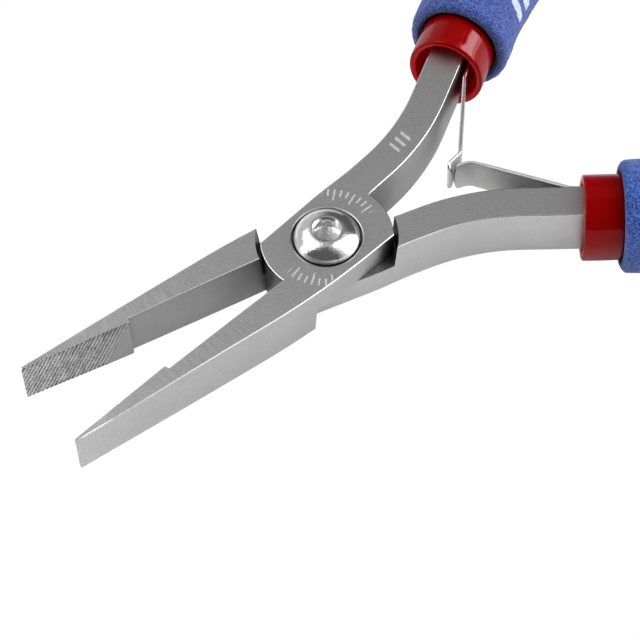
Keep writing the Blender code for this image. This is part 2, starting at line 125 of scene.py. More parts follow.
# sleeve and foam: distances from the mouth; pairs are half axes (across, along Z)
SLEEVE_OUT = (4.30, 5.25)
SLEEVE_WALL = 0.90
SLEEVE_IN = (SLEEVE_OUT[0] - SLEEVE_WALL, SLEEVE_OUT[1] - SLEEVE_WALL)
SLEEVE_LENGTH = 72.0
SLEEVE_BORE = 68.0
SLEEVE_AROUND = 96
MOUTH_FLARE = 0.12
LIP_OUTER_R = 0.26
LIP_INNER_R = 0.34
FOAM_START = 4.1
FOAM_END = 69.0
FOAM_WALL = 1.45
FOAM_GAP = 0.15
FOAM_SWELL = 0.55
FOAM_SHOULDER_R = 0.90
FOAM_GIRTH = 38.0                     # nominal, for the noise cells
FOAM_LEAN = 0.48                      # thinning on the side of the other handle
FOAM_AROUND = 190
FOAM_ALONG = 290

# screw and its seat
SEAT_Z = 2.55
HEAD_R = 3.60
COUNTERBORE_R = HEAD_R + 0.15
HEAD_HEIGHT = 2.15
SHOULDER_R = 2.40
BORE_R = SHOULDER_R + 0.08
SHANK_R = 2.00
TAPPED_R = SHANK_R + 0.06
HEX_AF = 2.5
HEX_DEPTH = 1.3
HEX_TURN = 15
DRILL_R = 1.18
DRILL_DEPTH = 0.42

# leaves: ROOT, FLAT, KNEE and RIVET_AT are measured along the handle from the mouth
LEAF_T = 0.30
LEAF_HALF_HEIGHT = 2.15
LEAF_ROOT = 19.0
LEAF_FLAT = 6.0
LEAF_GAP = 0.06
LEAF_KNEE = (-1.3, -2.62)             # distance along, offset across
LEAF_EDGE_R = 0.12
LEAF_SWELL = 0.055                    # extra half thickness of the free length
HOOK_CORNER = (18.53, 1.26)
HOOK_START = (16.95, 0.92)
HOOK_R = 0.52
HOOK_TURN = 125.0
REST_CORNER = (18.70, -0.27)
REST_END = (16.95, 0.13)
RIVET_AT = (9.5, 15.0)
RIVET_R = 0.80
RIVET_GAP = 0.08

MIDDLE = Matrix.Translation((0, 0, LIFT * MM))
UPPER = MIDDLE @ Matrix.Rotation(math.radians(HALF_OPENING), 4, "Z")
LOWER = (MIDDLE @ Matrix.Rotation(-math.radians(HALF_OPENING), 4, "Z")
         @ Matrix.Rotation(math.pi, 4, "X"))


# =====================================================================================
# shader node helpers
# =====================================================================================
class Tree:
    """A material's or world's nodes. Every input may be a value or another node's socket."""

    def __init__(self, name, world=False):
        self.world = world
        self.owner = (bpy.data.worlds if world else bpy.data.materials).new(name)
        self.owner.use_nodes = True
        self.tree = self.owner.node_tree
        self.tree.nodes.clear()

    def put(self, socket, value):
        if isinstance(value, bpy.types.NodeSocket):
            self.tree.links.new(value, socket)
        else:
            socket.default_value = value

    def add(self, kind, inputs=None, **props):
        node = self.tree.nodes.new(kind)
        for key, value in props.items():
            setattr(node, key, value)
        for key, value in (inputs or {}).items():
            self.put(node.inputs[key], value)
        return node

    def finish(self, shader):
        kind = "ShaderNodeOutputWorld" if self.world else "ShaderNodeOutputMaterial"
        self.add(kind, {"Surface": shader})
        return self.owner

    # --- arithmetic
    def math(self, op, a, b=0.0, c=0.0, clamp=False):
        node = self.add("ShaderNodeMath", {0: a, 1: b, 2: c}, operation=op, use_clamp=clamp)
        return node.outputs[0]

    def plus(self, a, b):
        return self.math("ADD", a, b)

    def times(self, a, b):
        return self.math("MULTIPLY", a, b)

    def gain(self, value, by, base):
        """value * by + base"""
        return self.math("MULTIPLY_ADD", value, by, base)

    def centred(self, noise):
        return self.math("SUBTRACT", noise, 0.5)

    def vary(self, value, noise, by):
        """The value, moved up and down by a noise about its mean."""
        return self.gain(self.centred(noise), by, value)

    def highest(self, values):
        return reduce(lambda a, b: self.math("MAXIMUM", a, b), values)

    def off_centre(self, value, middle):
        return self.math("ABSOLUTE", self.math("SUBTRACT", value, middle))

    def off_pitch(self, value, pitch):
        """How far the value is from the middle of its pitch, as a share of the pitch."""
        share = self.math("FRACT", self.math("DIVIDE", value, pitch))
        return self.off_centre(share, 0.5)

    def ramp(self, value, over, to=(0.0, 1.0), smooth=False):
        """Maps the range over to the range to, held at both ends."""
        node = self.add("ShaderNodeMapRange", {
            "Value": value, "From Min": over[0], "From Max": over[1],
            "To Min": to[0], "To Max": to[1]})
        node.interpolation_type = "SMOOTHSTEP" if smooth else "LINEAR"
        return node.outputs["Result"]

    # --- vectors and angles
    def vector(self, op, a, b):
        return self.add("ShaderNodeVectorMath", {0: a, 1: b}, operation=op).outputs["Vector"]

    def scaled(self, vector, factor):
        node = self.add("ShaderNodeVectorMath", {0: vector, "Scale": factor}, operation="SCALE")
        return node.outputs["Vector"]

    def axes(self, vector):
        outputs = self.add("ShaderNodeSeparateXYZ", {0: vector}).outputs
        return outputs["X"], outputs["Y"], outputs["Z"]

    def radius(self, x, y):
        return self.math("SQRT", self.plus(self.times(x, x), self.times(y, y)))

    def azimuth(self, x, y):
        return self.math("DEGREES", self.math("ARCTAN2", y, x))

    def elevation(self, z):
        return self.math("DEGREES", self.math("ARCSINE", z))

    def off_azimuth(self, azimuth, middle):
        off = self.math("SUBTRACT", azimuth, middle)
        return self.math("ABSOLUTE", self.math("WRAP", off, 180.0, -180.0))

    # --- inputs and textures
    def position(self, scale=1 / MM):
        """The object's own coordinates, in millimetres unless scaled otherwise."""
        return self.scaled(self.add("ShaderNodeTexCoord").outputs["Object"], scale)

    def geometry(self, output):
        return self.add("ShaderNodeNewGeometry").outputs[output]

    def camera_ray(self):
        return self.add("ShaderNodeLightPath").outputs["Is Camera Ray"]

    def noise(self, where, scale=1.0, detail=2.0, rough=0.5, shift=None, stretch=None):
        if shift:
            where = self.vector("ADD", where, shift)
        if stretch:
            where = self.vector("MULTIPLY", where, stretch)
        node = self.add("ShaderNodeTexNoise", {"Vector": where, "Scale": scale,
                                               "Detail": detail, "Roughness": rough})
        return node.outputs["Fac"]

    def openness(self, distance, samples=6):
        """Ambient occlusion: 1 in the open, 0 where hidden. The distance is in metres."""
        node = self.add("ShaderNodeAmbientOcclusion", {"Distance": distance}, samples=samples)
        return node.outputs["AO"]

    # --- colour and surface
    def mix(self, factor, a, b):
        node = self.add("ShaderNodeMix", data_type="RGBA")
        for key, value in (("Factor", factor), ("A", a), ("B", b)):
            self.put(node.inputs[key], value)
        return node.outputs["Result"]

    def grey(self, tone, value):
        return self.scaled((tone, tone, tone), value)

    def bump(self, height, distance, strength, under=None):
        """The distance is in metres; under is a normal to build on."""
        inputs = {"Height": height, "Distance": distance, "Strength": strength}
        if under is not None:
            inputs["Normal"] = under
        return self.add("ShaderNodeBump", inputs).outputs["Normal"]

    def surface(self, **inputs):
        named = {key.replace("_", " "): value for key, value in inputs.items()}
        return self.finish(self.add("ShaderNodeBsdfPrincipled", named).outputs[0])

    def metal(self, colour, rough, normal):
        return self.surface(Base_Color=colour, Metallic=1.0, Roughness=rough, Normal=normal)


# =====================================================================================
# steel looks
# =====================================================================================
STEEL_SHADE_REACH = 0.0055            # metres

# etched marks on the upper half: two arcs of ticks about the screw, a row on the handle
TICK_ARCS = (-145.0, 21.0)            # middles
TICK_SPAN = 31.0                      # half of each arc
TICK_PITCH = 7.0
TICK_OUTER_R = 6.25
TICK_INNER_R = 5.35
TICK_EXTRA = 0.55                     # every third tick reaches further in
ROW_X = 12.9
ROW_Y = 3.35
ROW_SLOPE = 0.15
ROW_PITCH = 0.95
ROW_HALF_LENGTH = 1.43
ROW_HALF_WIDTH = 0.75


def etched_marks(tree, place, x, y, z):
    """A mask of the plain worn marks on the top face."""
    radius = tree.radius(x, y)
    around = tree.azimuth(x, y)
    on_top = tree.math("GREATER_THAN", z, HALF_THICK - 0.35)
    masks = []
    for middle in TICK_ARCS:
        off = tree.math("SUBTRACT", around, middle)
        inside = tree.math("LESS_THAN", tree.math("ABSOLUTE", off), TICK_SPAN)
        tick = tree.ramp(tree.off_pitch(off, TICK_PITCH), over=(0.17, 0.10), smooth=True)
        number = tree.math("FLOOR", tree.math("DIVIDE", off, TICK_PITCH))
        third = tree.math("FRACT", tree.math("DIVIDE", number, 3.0))
        long = tree.math("GREATER_THAN", third, 0.5)
        inner = tree.gain(long, by=-TICK_EXTRA, base=TICK_INNER_R)
        band = tree.times(tree.math("GREATER_THAN", radius, inner),
                          tree.math("LESS_THAN", radius, TICK_OUTER_R))
        masks.append(tree.times(tree.times(inside, tick), band))
    run = tree.math("SUBTRACT", x, ROW_X)
    bars = tree.ramp(tree.off_pitch(run, ROW_PITCH), over=(0.22, 0.14), smooth=True)
    near = tree.math("LESS_THAN", tree.off_centre(run, ROW_HALF_LENGTH), ROW_HALF_LENGTH)
    row_y = tree.gain(run, by=ROW_SLOPE, base=ROW_Y)
    side = tree.math("LESS_THAN", tree.off_centre(y, row_y), ROW_HALF_WIDTH)
    masks.append(tree.times(tree.times(bars, near), side))
    mask = tree.highest(masks)
    worn = tree.ramp(tree.noise(place, scale=5.0), over=(0.25, 0.6), to=(0.35, 1.0))
    return tree.times(tree.times(mask, on_top), worn)


def satin_steel(name, tone, marks=False, wall_light=1.0):
    """Bead-blasted steel: a fine grain, slow tonal drift, and cross grinding on the jaws.

    The last argument is painted light: how bright upright faces are painted against flat ones.
    """
    tree = Tree(name)
    place = tree.position()
    grain = tree.noise(place, scale=6.0, rough=0.6)
    speck = tree.noise(place, scale=10.0, detail=1.0)
    drift = tree.noise(place, scale=0.20)
    cloud = tree.noise(place, scale=0.9, shift=(3.1, 8.7, 1.3))
    lines = tree.noise(place, stretch=(6.0, 0.30, 6.0), detail=3.0, rough=0.7)
    x, y, z = tree.axes(place)
    jaw = tree.ramp(x, over=(-7.0, -16.0), to=(0.12, 1.0), smooth=True)
    flat = tree.math("ABSOLUTE", tree.axes(tree.geometry("True Normal"))[2])
    much = tree.ramp(flat, over=(0.3, 0.8), to=(0.45, 1.0))
    fleck = tree.gain(tree.centred(speck), by=0.64, base=tree.times(tree.centred(grain), 0.56))
    value = tree.gain(fleck, by=much, base=1.0)
    value = tree.vary(value, drift, by=0.10)
    value = tree.vary(value, cloud, by=0.06)
    value = tree.gain(tree.times(tree.centred(lines), jaw), by=0.55, base=value)
    # painted shade: corners and gaps darken, but not on the handle
    hidden = tree.openness(STEEL_SHADE_REACH)
    painted_corner_shade = tree.math("MAXIMUM", tree.ramp(hidden, over=(0.30, 0.96), to=(0.42, 1.0)),
                     tree.ramp(x, over=(14.0, 22.0), to=(0.0, 0.86)))
    # painted light: upright faces are painted brighter or darker than flat ones
    upright = tree.ramp(flat, over=(0.3, 0.8), to=(wall_light, 1.0))
    value = tree.times(value, tree.times(painted_corner_shade, upright))
    # painted shade: flat faces darken towards the tip
    tip = tree.ramp(x, over=(TIP_X + 1.0, TIP_X + 7.0), to=(0.82, 1.0), smooth=True)
    value = tree.times(value, tree.math("MAXIMUM", tip, tree.ramp(flat, over=(0.8, 0.3))))
    colour = tree.grey(tone, value)
    rough = tree.gain(grain, by=0.14, base=0.31)
    height = tree.plus(grain, tree.times(tree.times(lines, jaw), 0.8))
    if marks:
        mask = etched_marks(tree, place, x, y, z)
        colour = tree.mix(tree.times(mask, 0.68), colour, (0.97, 0.97, 0.96, 1))
        rough = tree.gain(mask, by=0.25, base=rough)
        height = tree.gain(mask, by=-1.0, base=height)
    return tree.metal(colour, rough, tree.bump(height, distance=0.00002, strength=0.6))


def polished_edge(name, rough=0.14):
    """The ground corner along an edge, with fine nicks."""
    tree = Tree(name)
    place = tree.position()
    nick = tree.noise(place, scale=6.0, detail=3.0, rough=0.6)
    colour = tree.grey(0.86, tree.gain(nick, by=0.30, base=0.84))
    rough = tree.gain(tree.noise(place, scale=2.2), by=0.16, base=rough)
    return tree.metal(colour, rough, tree.bump(nick, distance=0.000010, strength=0.5))


def turned_steel(name, tone):
    """Turned faces of the joint: rings and streaks of tool marks, dulled by oil, with painted shade
    in the recesses.
    """
    tree = Tree(name)
    place = tree.position()
    x, y, z = tree.axes(place)
    radius = tree.radius(x, y)
    polar = tree.add("ShaderNodeCombineXYZ", {
        0: tree.times(radius, 5.0),
        1: tree.times(tree.math("ARCTAN2", y, x), 1.2),
        2: tree.times(z, 4.0)}).outputs[0]
    rings = tree.noise(polar, detail=3.0, rough=0.7)
    streaks = tree.noise(place, stretch=(5.0, 5.0, 0.35), detail=3.0, rough=0.7)
    oil = tree.noise(place, scale=0.9)
    value = tree.gain(rings, by=0.8, base=0.0)
    value = tree.gain(streaks, by=0.9, base=value)
    value = tree.vary(value, oil, by=0.6)
    value = tree.math("MAXIMUM", value, 0.15)
    # painted shade: recesses darken
    hidden = tree.openness(STEEL_SHADE_REACH)
    value = tree.times(value, tree.ramp(hidden, over=(0.20, 0.80), to=(0.40, 1.0)))
    return tree.metal(tree.grey(tone, value), tree.gain(oil, by=0.2, base=0.26),
                      tree.bump(rings, distance=0.00003, strength=0.8))


def pad_steel(name, tone):
    """The cut flanks of the serrations: drag marks along the cut and torn crests."""
    tree = Tree(name)
    place = tree.position()
    turned = tree.add("ShaderNodeVectorRotate",
                      {"Vector": place, "Angle": math.radians(GROOVE_ANGLE)},
                      rotation_type="Y_AXIS").outputs["Vector"]
    drag = tree.noise(turned, stretch=(1.6, 6.0, 6.0), detail=3.0, rough=0.65)
    torn = tree.noise(place, scale=3.6, detail=3.0, rough=0.6)
    pick = tree.noise(place, scale=5.5, rough=0.6, shift=(4.4, 2.2, 9.1))
    value = tree.gain(drag, by=1.5, base=0.20)
    value = tree.vary(value, torn, by=1.5)
    value = tree.times(value, tree.ramp(pick, over=(0.34, 0.46), to=(0.45, 1.0)))
    slow = tree.noise(place, scale=1.1, shift=(1.2, 7.7, 3.4))
    value = tree.times(value, tree.ramp(slow, over=(0.35, 0.65), to=(0.72, 1.22)))
    # darker along the pad's upper and lower rims
    rim = tree.ramp(tree.math("ABSOLUTE", tree.axes(place)[2]), over=(2.30, 2.75))
    value = tree.times(value, tree.gain(rim, by=-0.35, base=1.0))
    value = tree.math("MAXIMUM", value, 0.12)
    colour = tree.grey(tone, value)
    height = tree.plus(drag, tree.times(torn, 1.2))
    return tree.metal(colour, tree.gain(torn, by=0.25, base=0.22),
                      tree.bump(height, distance=0.00007, strength=0.8))


def chrome(name):
    """Bright plating with faint ripple and hairline polishing marks."""
    tree = Tree(name)
    place = tree.position()
    ripple = tree.noise(place, scale=0.9)
    hair = tree.noise(place, scale=9.0, detail=3.0, rough=0.7)
    colour = tree.grey(0.90, tree.gain(hair, by=0.08, base=0.95))
    peel = tree.noise(place, scale=4.2, detail=3.0, rough=0.65)
    rough = tree.gain(hair, by=0.08, base=0.04)
    normal = tree.bump(ripple, distance=0.00006, strength=0.30)
    normal = tree.bump(peel, distance=0.000045, strength=0.60, under=normal)
    normal = tree.bump(hair, distance=0.000006, strength=0.6, under=normal)
    return tree.metal(colour, rough, normal)


def spring_steel(name):
    """Cold-rolled strip: bright, with rolling lines along its length."""
    tree = Tree(name)
    place = tree.position()
    roll = tree.noise(place, stretch=(0.25, 0.25, 11.0), detail=3.0, rough=0.6)
    spot = tree.noise(place, scale=3.0)
    value = tree.gain(roll, by=0.22, base=0.86)
    value = tree.vary(value, spot, by=0.10)
    rough = tree.gain(roll, by=0.10, base=0.10)
    # painted shade: the strip darkens where it is hidden
    hidden = tree.openness(0.004)
    value = tree.times(value, tree.ramp(hidden, over=(0.25, 0.80), to=(0.25, 1.0)))
    return tree.metal(tree.scaled((0.89, 0.89, 0.88), value), rough,
                      tree.bump(roll, distance=0.000008, strength=0.4))


# =====================================================================================
# vinyl and foam looks
# =====================================================================================
# the window of mirrored directions in which the vinyl's gloss is painted stronger, a painted
# highlight, in degrees
GLINT_AZIMUTH = 341.0
GLINT_HALF_WIDTH = 12.0
GLINT_ELEVATION = 27.0
GLINT_HALF_HEIGHT = 17.0
GLINT_GAIN = 0.42

# the printed bars: middles along the grip behind its mouth, and on the arc around it (mm)
BAR_PLACES = (9.9, 11.9, 13.9)
BAR_HALF_WIDTH = 0.62
BAR_SIDE = 16.2
BAR_REACH = 1.65
BAR_FADE = 0.12


def vinyl_base(tree):
    """Deep red with slow waviness and painted shade where hidden. Returns colour, fine noise,
    openness and normal.
    """
    place = tree.position()
    wave = tree.noise(place, scale=0.32, detail=1.0, rough=0.4)
    fine = tree.noise(place, scale=4.0)
    value = tree.gain(tree.noise(place, scale=0.5), by=0.25, base=0.875)
    # painted shade: the red darkens where it is hidden, in the bore and by the foam's mouth
    hidden = tree.openness(0.006)
    value = tree.times(value, tree.ramp(hidden, over=(0.32, 0.92), to=(0.18, 1.0)))
    colour = tree.scaled((0.31, 0.0003, 0.0006), value)
    normal = tree.bump(wave, distance=0.00016, strength=0.35)
    normal = tree.bump(fine, distance=0.000003, strength=0.6, under=normal)
    return colour, fine, hidden, normal


def red_bore(name):
    """The sleeve's inside, with a painted glow that stands in for light coming through the wall."""
    tree = Tree(name)
    colour, fine, hidden, normal = vinyl_base(tree)
    # painted light: the bore glows a little, more where it is open
    through = tree.times(tree.ramp(hidden, over=(0.02, 0.50), to=(0.25, 1.0)),
                         tree.gain(fine, by=0.2, base=0.9))
    return tree.surface(
        Base_Color=colour, Roughness=0.2, IOR=1.5, Specular_IOR_Level=0.2,
        Specular_Tint=(1.0, 0.3, 0.3, 1), Emission_Color=(0.25, 0.0004, 0.0035, 1),
        Emission_Strength=through, Normal=normal)


def red_vinyl(name):
    """Dip-moulded glossy vinyl, with a painted highlight: its gloss is boosted and paled for
    mirrored directions inside a set window.
    """
    tree = Tree(name)
    colour, fine, hidden, normal = vinyl_base(tree)
    rough = tree.gain(fine, by=0.06, base=0.025)
    sight = tree.geometry("Incoming")
    away = tree.scaled(tree.vector("REFLECT", sight, normal), -1.0)
    x, y, z = tree.axes(away)
    off = tree.off_azimuth(tree.azimuth(x, y), GLINT_AZIMUTH)
    rise = tree.off_centre(tree.elevation(z), GLINT_ELEVATION)
    # painted highlight: the gloss is boosted, and its tint paled, inside the window
    painted_glint = tree.times(
        tree.ramp(off, over=(GLINT_HALF_WIDTH + 3.0, GLINT_HALF_WIDTH - 3.0), smooth=True),
        tree.ramp(rise, over=(GLINT_HALF_HEIGHT + 4.0, GLINT_HALF_HEIGHT - 4.0), smooth=True))
    painted_glint = tree.times(painted_glint, tree.ramp(hidden, over=(0.35, 0.75)))
    return tree.surface(
        Base_Color=colour, Roughness=rough, IOR=1.5,
        Specular_IOR_Level=tree.gain(painted_glint, by=GLINT_GAIN, base=0.33),
        Specular_Tint=tree.mix(painted_glint, (1.0, 0.34, 0.36, 1), (1.0, 0.66, 0.67, 1)),
        Normal=normal)


def printed_bars(tree, place):
    """A mask of plain bars, their outline broken up by noise."""
    along = tree.add("ShaderNodeAttribute", attribute_name="along").outputs["Fac"]
    side = tree.add("ShaderNodeAttribute", attribute_name="around").outputs["Fac"]
    ragged = tree.times(tree.centred(tree.noise(place, scale=2.2)), 0.5)
    bars = []
    for middle in BAR_PLACES:
        width = tree.ramp(tree.plus(tree.off_centre(along, middle), ragged),
                          over=(BAR_HALF_WIDTH, BAR_HALF_WIDTH - BAR_FADE))
        length = tree.ramp(tree.plus(tree.off_centre(side, BAR_SIDE), ragged),
                           over=(BAR_REACH, BAR_REACH - BAR_FADE))
        bars.append(tree.math("MULTIPLY", width, length, clamp=True))
    mask = tree.highest(bars)
    worn = tree.ramp(tree.noise(place, scale=5.5), over=(0.30, 0.42), to=(0.25, 1.0))
    return tree.times(mask, worn)


def blue_foam(name, marks, depth, cast):
    """Closed-cell foam rubber: granular, with painted shade as dark specks in its pores and painted
    highlights as light specks on its grains.

    A smaller depth gives more contrast between the two blues; cast tints the whole.
    """
    tree = Tree(name)
    place = tree.position()
    cell = tree.add("ShaderNodeTexVoronoi", {"Vector": place, "Scale": 6.0, "Randomness": 1.0,
                                             "Smoothness": 0.5}, feature="SMOOTH_F1")
    chance = tree.add("ShaderNodeSeparateColor", {0: cell.outputs["Color"]}).outputs["Red"]
    grain = tree.noise(place, scale=6.5, rough=0.7)
    fine = tree.noise(place, scale=9.5, detail=1.0, shift=(2.3, 5.9, 8.1))
    slow = tree.noise(place, scale=0.35)
    tone = tree.plus(tree.times(chance, 0.22),
                     tree.plus(tree.times(grain, 0.42), tree.times(fine, 0.36)))
    colour = tree.mix(tree.ramp(tone, over=(0.5 - depth, 0.5 + depth)),
                      (0.013, 0.033, 0.180, 1), (0.098, 0.190, 0.660, 1))
    # painted highlight: light specks on the grains
    painted_grain_highlight = tree.noise(place, scale=7.5, detail=1.0, shift=(6.1, 3.3, 0.7))
    painted_grain_highlight = tree.ramp(painted_grain_highlight, over=(0.62, 0.74))
    colour = tree.mix(tree.times(painted_grain_highlight, 0.62), colour, (0.36, 0.50, 0.92, 1))
    # painted shade: dark specks in the pores
    painted_pore_shade = tree.noise(place, scale=6.5, detail=1.0, shift=(7.3, 1.9, 4.1))
    painted_pore_shade = tree.ramp(painted_pore_shade, over=(0.40, 0.28))
    colour = tree.mix(tree.times(painted_pore_shade, 0.85), colour, (0.004, 0.008, 0.045, 1))
    colour = tree.scaled(colour, tree.gain(slow, by=0.24, base=0.88))
    # painted shade: the foam darkens where hidden, at its mouth by the sleeve
    hidden = tree.openness(0.004, samples=4)
    colour = tree.scaled(colour, tree.ramp(hidden, over=(0.30, 0.80), to=(0.22, 1.0)))
    colour = tree.vector("MULTIPLY", colour, cast)
    if marks:
        colour = tree.mix(printed_bars(tree, place), colour, (0.78, 0.86, 0.97, 1))
    height = tree.plus(tree.times(cell.outputs["Distance"], -0.6),
                       tree.plus(grain, tree.times(fine, 0.5)))
    return tree.surface(
        Base_Color=colour, Roughness=0.92, Specular_IOR_Level=0.25, Sheen_Weight=0.25,
        Sheen_Roughness=0.6, Normal=tree.bump(height, distance=0.00012, strength=0.75))


# =====================================================================================
# lines and mesh helpers
# =====================================================================================
def steps(start, end, count):
    return [start + (end - start) * k / count for k in range(count + 1)]


def angles(start, end, count):
    """Steps between two angles in degrees, given in radians."""
    return [math.radians(angle) for angle in steps(start, end, count)]


def arc(r, start, end, count):
    return [(r * math.cos(a), r * math.sin(a)) for a in angles(start, end, count)]


def straight(start, end, count):
    """Points from start to end, without start itself."""
    return [(start[0] + (end[0] - start[0]) * (k / count),
             start[1] + (end[1] - start[1]) * (k / count)) for k in range(1, count + 1)]


def centreline(distance):
    """The handle's middle line: the point at a distance along it, and its heading."""
    x, y = TANG_START
    heading = math.radians(TANG_START_ANGLE)
    for length, radius in TANG_RUNS:
        run = min(distance, length)
        if radius is None:
            x += run * math.cos(heading)
            y += run * math.sin(heading)
        else:
            turned = heading + run / radius
            x += radius * (math.sin(turned) - math.sin(heading))
            y += radius * (math.cos(heading) - math.cos(turned))
            heading = turned
        distance -= run
    return (x, y), heading


def across(distance, offset):
    """A point beside the centreline; a positive offset is away from the other handle."""
    (x, y), heading = centreline(distance)
    return (x - offset * math.sin(heading), y + offset * math.cos(heading))


def to_object(shape, name, materials, matrix=None, smooth=30.0, merge=True):
    """Turns a bmesh in millimetres into an object."""
    if merge:
        bmesh.ops.remove_doubles(shape, verts=shape.verts, dist=1e-5)
    bmesh.ops.recalc_face_normals(shape, faces=shape.faces)
    shape.transform(Matrix.Scale(MM, 4))
    mesh = bpy.data.meshes.new(name)
    shape.to_mesh(mesh)
    shape.free()
    shade(mesh, smooth)
    obj = bpy.data.objects.new(name, mesh)
    scene.collection.objects.link(obj)
    for material in materials:
        mesh.materials.append(material)
    if matrix is not None:
        obj.matrix_world = matrix
    return obj


def shade(mesh, smooth):
    mesh.shade_smooth()
    mesh.set_sharp_from_angle(angle=math.radians(smooth))


@contextmanager
def editing(mesh):
    shape = bmesh.new()
    shape.from_mesh(mesh)
    yield shape
    shape.to_mesh(mesh)
    shape.free()


def modify(obj, name, kind, **settings):
    """Adds a modifier and makes it part of the mesh."""
    modifier = obj.modifiers.new(name, kind)
    for key, value in settings.items():
        setattr(modifier, key, value)
    bpy.context.view_layer.update()
    graph = bpy.context.evaluated_depsgraph_get()
    mesh = bpy.data.meshes.new_from_object(obj.evaluated_get(graph))
    old = obj.data
    obj.modifiers.clear()
    obj.data = mesh
    bpy.data.meshes.remove(old)


def cut(obj, shape, merge=True):
    """Cuts a shape, drawn in the object's own frame, out of it."""
    tool = to_object(shape, "tool", list(obj.data.materials), obj.matrix_world.copy(),
                     merge=merge)
    modify(obj, "cut", "BOOLEAN", operation="DIFFERENCE", solver="EXACT", object=tool)
    bpy.data.objects.remove(tool, do_unlink=True)


def revolved(profile, segments, slots=None):
    """Turns (radius, z) points about Z; slots are the material slots between the points."""
    shape = bmesh.new()
    rings = []
    for r, z in profile:
        if r == 0:
            rings.append([shape.verts.new((0, 0, z))])
        else:
            turns = [2 * math.pi * k / segments for k in range(segments)]
            rings.append([shape.verts.new((r * math.cos(turn), r * math.sin(turn), z))
                          for turn in turns])
    for n, (low, high) in enumerate(zip(rings, rings[1:])):
        for i in range(segments):
            j = (i + 1) % segments
            if len(low) == 1:
                corners = (low[0], high[i], high[j])
            elif len(high) == 1:
                corners = (low[i], low[j], high[0])
            else:
                corners = (low[i], low[j], high[j], high[i])
            face = shape.faces.new(corners)
            if slots:
                face.material_index = slots[n]
    return shape


def cylinder(r, low, high, segments):
    return revolved([(0, low), (r, low), (r, high), (0, high)], segments)


def bridge(rings):
    """A closed shape through rings of equally many points, capped at both ends."""
    shape = bmesh.new()
    made = [[shape.verts.new(point) for point in ring] for ring in rings]
    count = len(made[0])
    for low, high in zip(made, made[1:]):
        for i in range(count):
            j = (i + 1) % count
            shape.faces.new((low[i], low[j], high[j], high[i]))
    shape.faces.new(made[0])
    shape.faces.new(made[-1])
    return shape


# =====================================================================================
# steel halves
# =====================================================================================
# material slots of a half
SATIN, EDGE, PAD, BORE, POCKET, PAD_SHADE, RELIEF_SHADE = range(7)

# rounding of the long edges, by part of the outline
ROUND_SIDE = 0.17                     # jaw, head and the handle's inner side
ROUND_HANDLE = 0.15                   # the handle's outer side and the head beside it
ROUND_HEAD = 0.06
ROUND_BOSS_HANDLE = 0.08
ROUND_BOSS_JAW = 0.09
ROUND_RELIEF = 0.11
ROUND_PAD = 0.05

CUT_SMOOTH = 24                       # sharp angle of a half, in degrees


def jaw_outer(x):
    """y of the jaw's outer side: flat at the head, a parabola, then a straight slope."""
    start, end = JAW_BLEND
    if x >= end:
        return -HEAD_HALF_WIDTH
    if x >= start:
        return -HEAD_HALF_WIDTH + JAW_SLOPE * (end - x) ** 2 / (2 * (end - start))
    return -HEAD_HALF_WIDTH + JAW_SLOPE * (end - start) / 2 + JAW_SLOPE * (start - x)


def jaw_width(x):
    return -PAD_FACE - jaw_outer(x)


def half_height(x):
    share = max(0.0, (-BOSS_R - x) / (-BOSS_R - TIP_X))
    return HALF_THICK - (HALF_THICK - TIP_HALF_HEIGHT) * share * share


def outer_drop(x):
    share = max(0.0, (TIP_DROP_X - x) / (TIP_DROP_X - TIP_X))
    return TIP_DROP * share * share


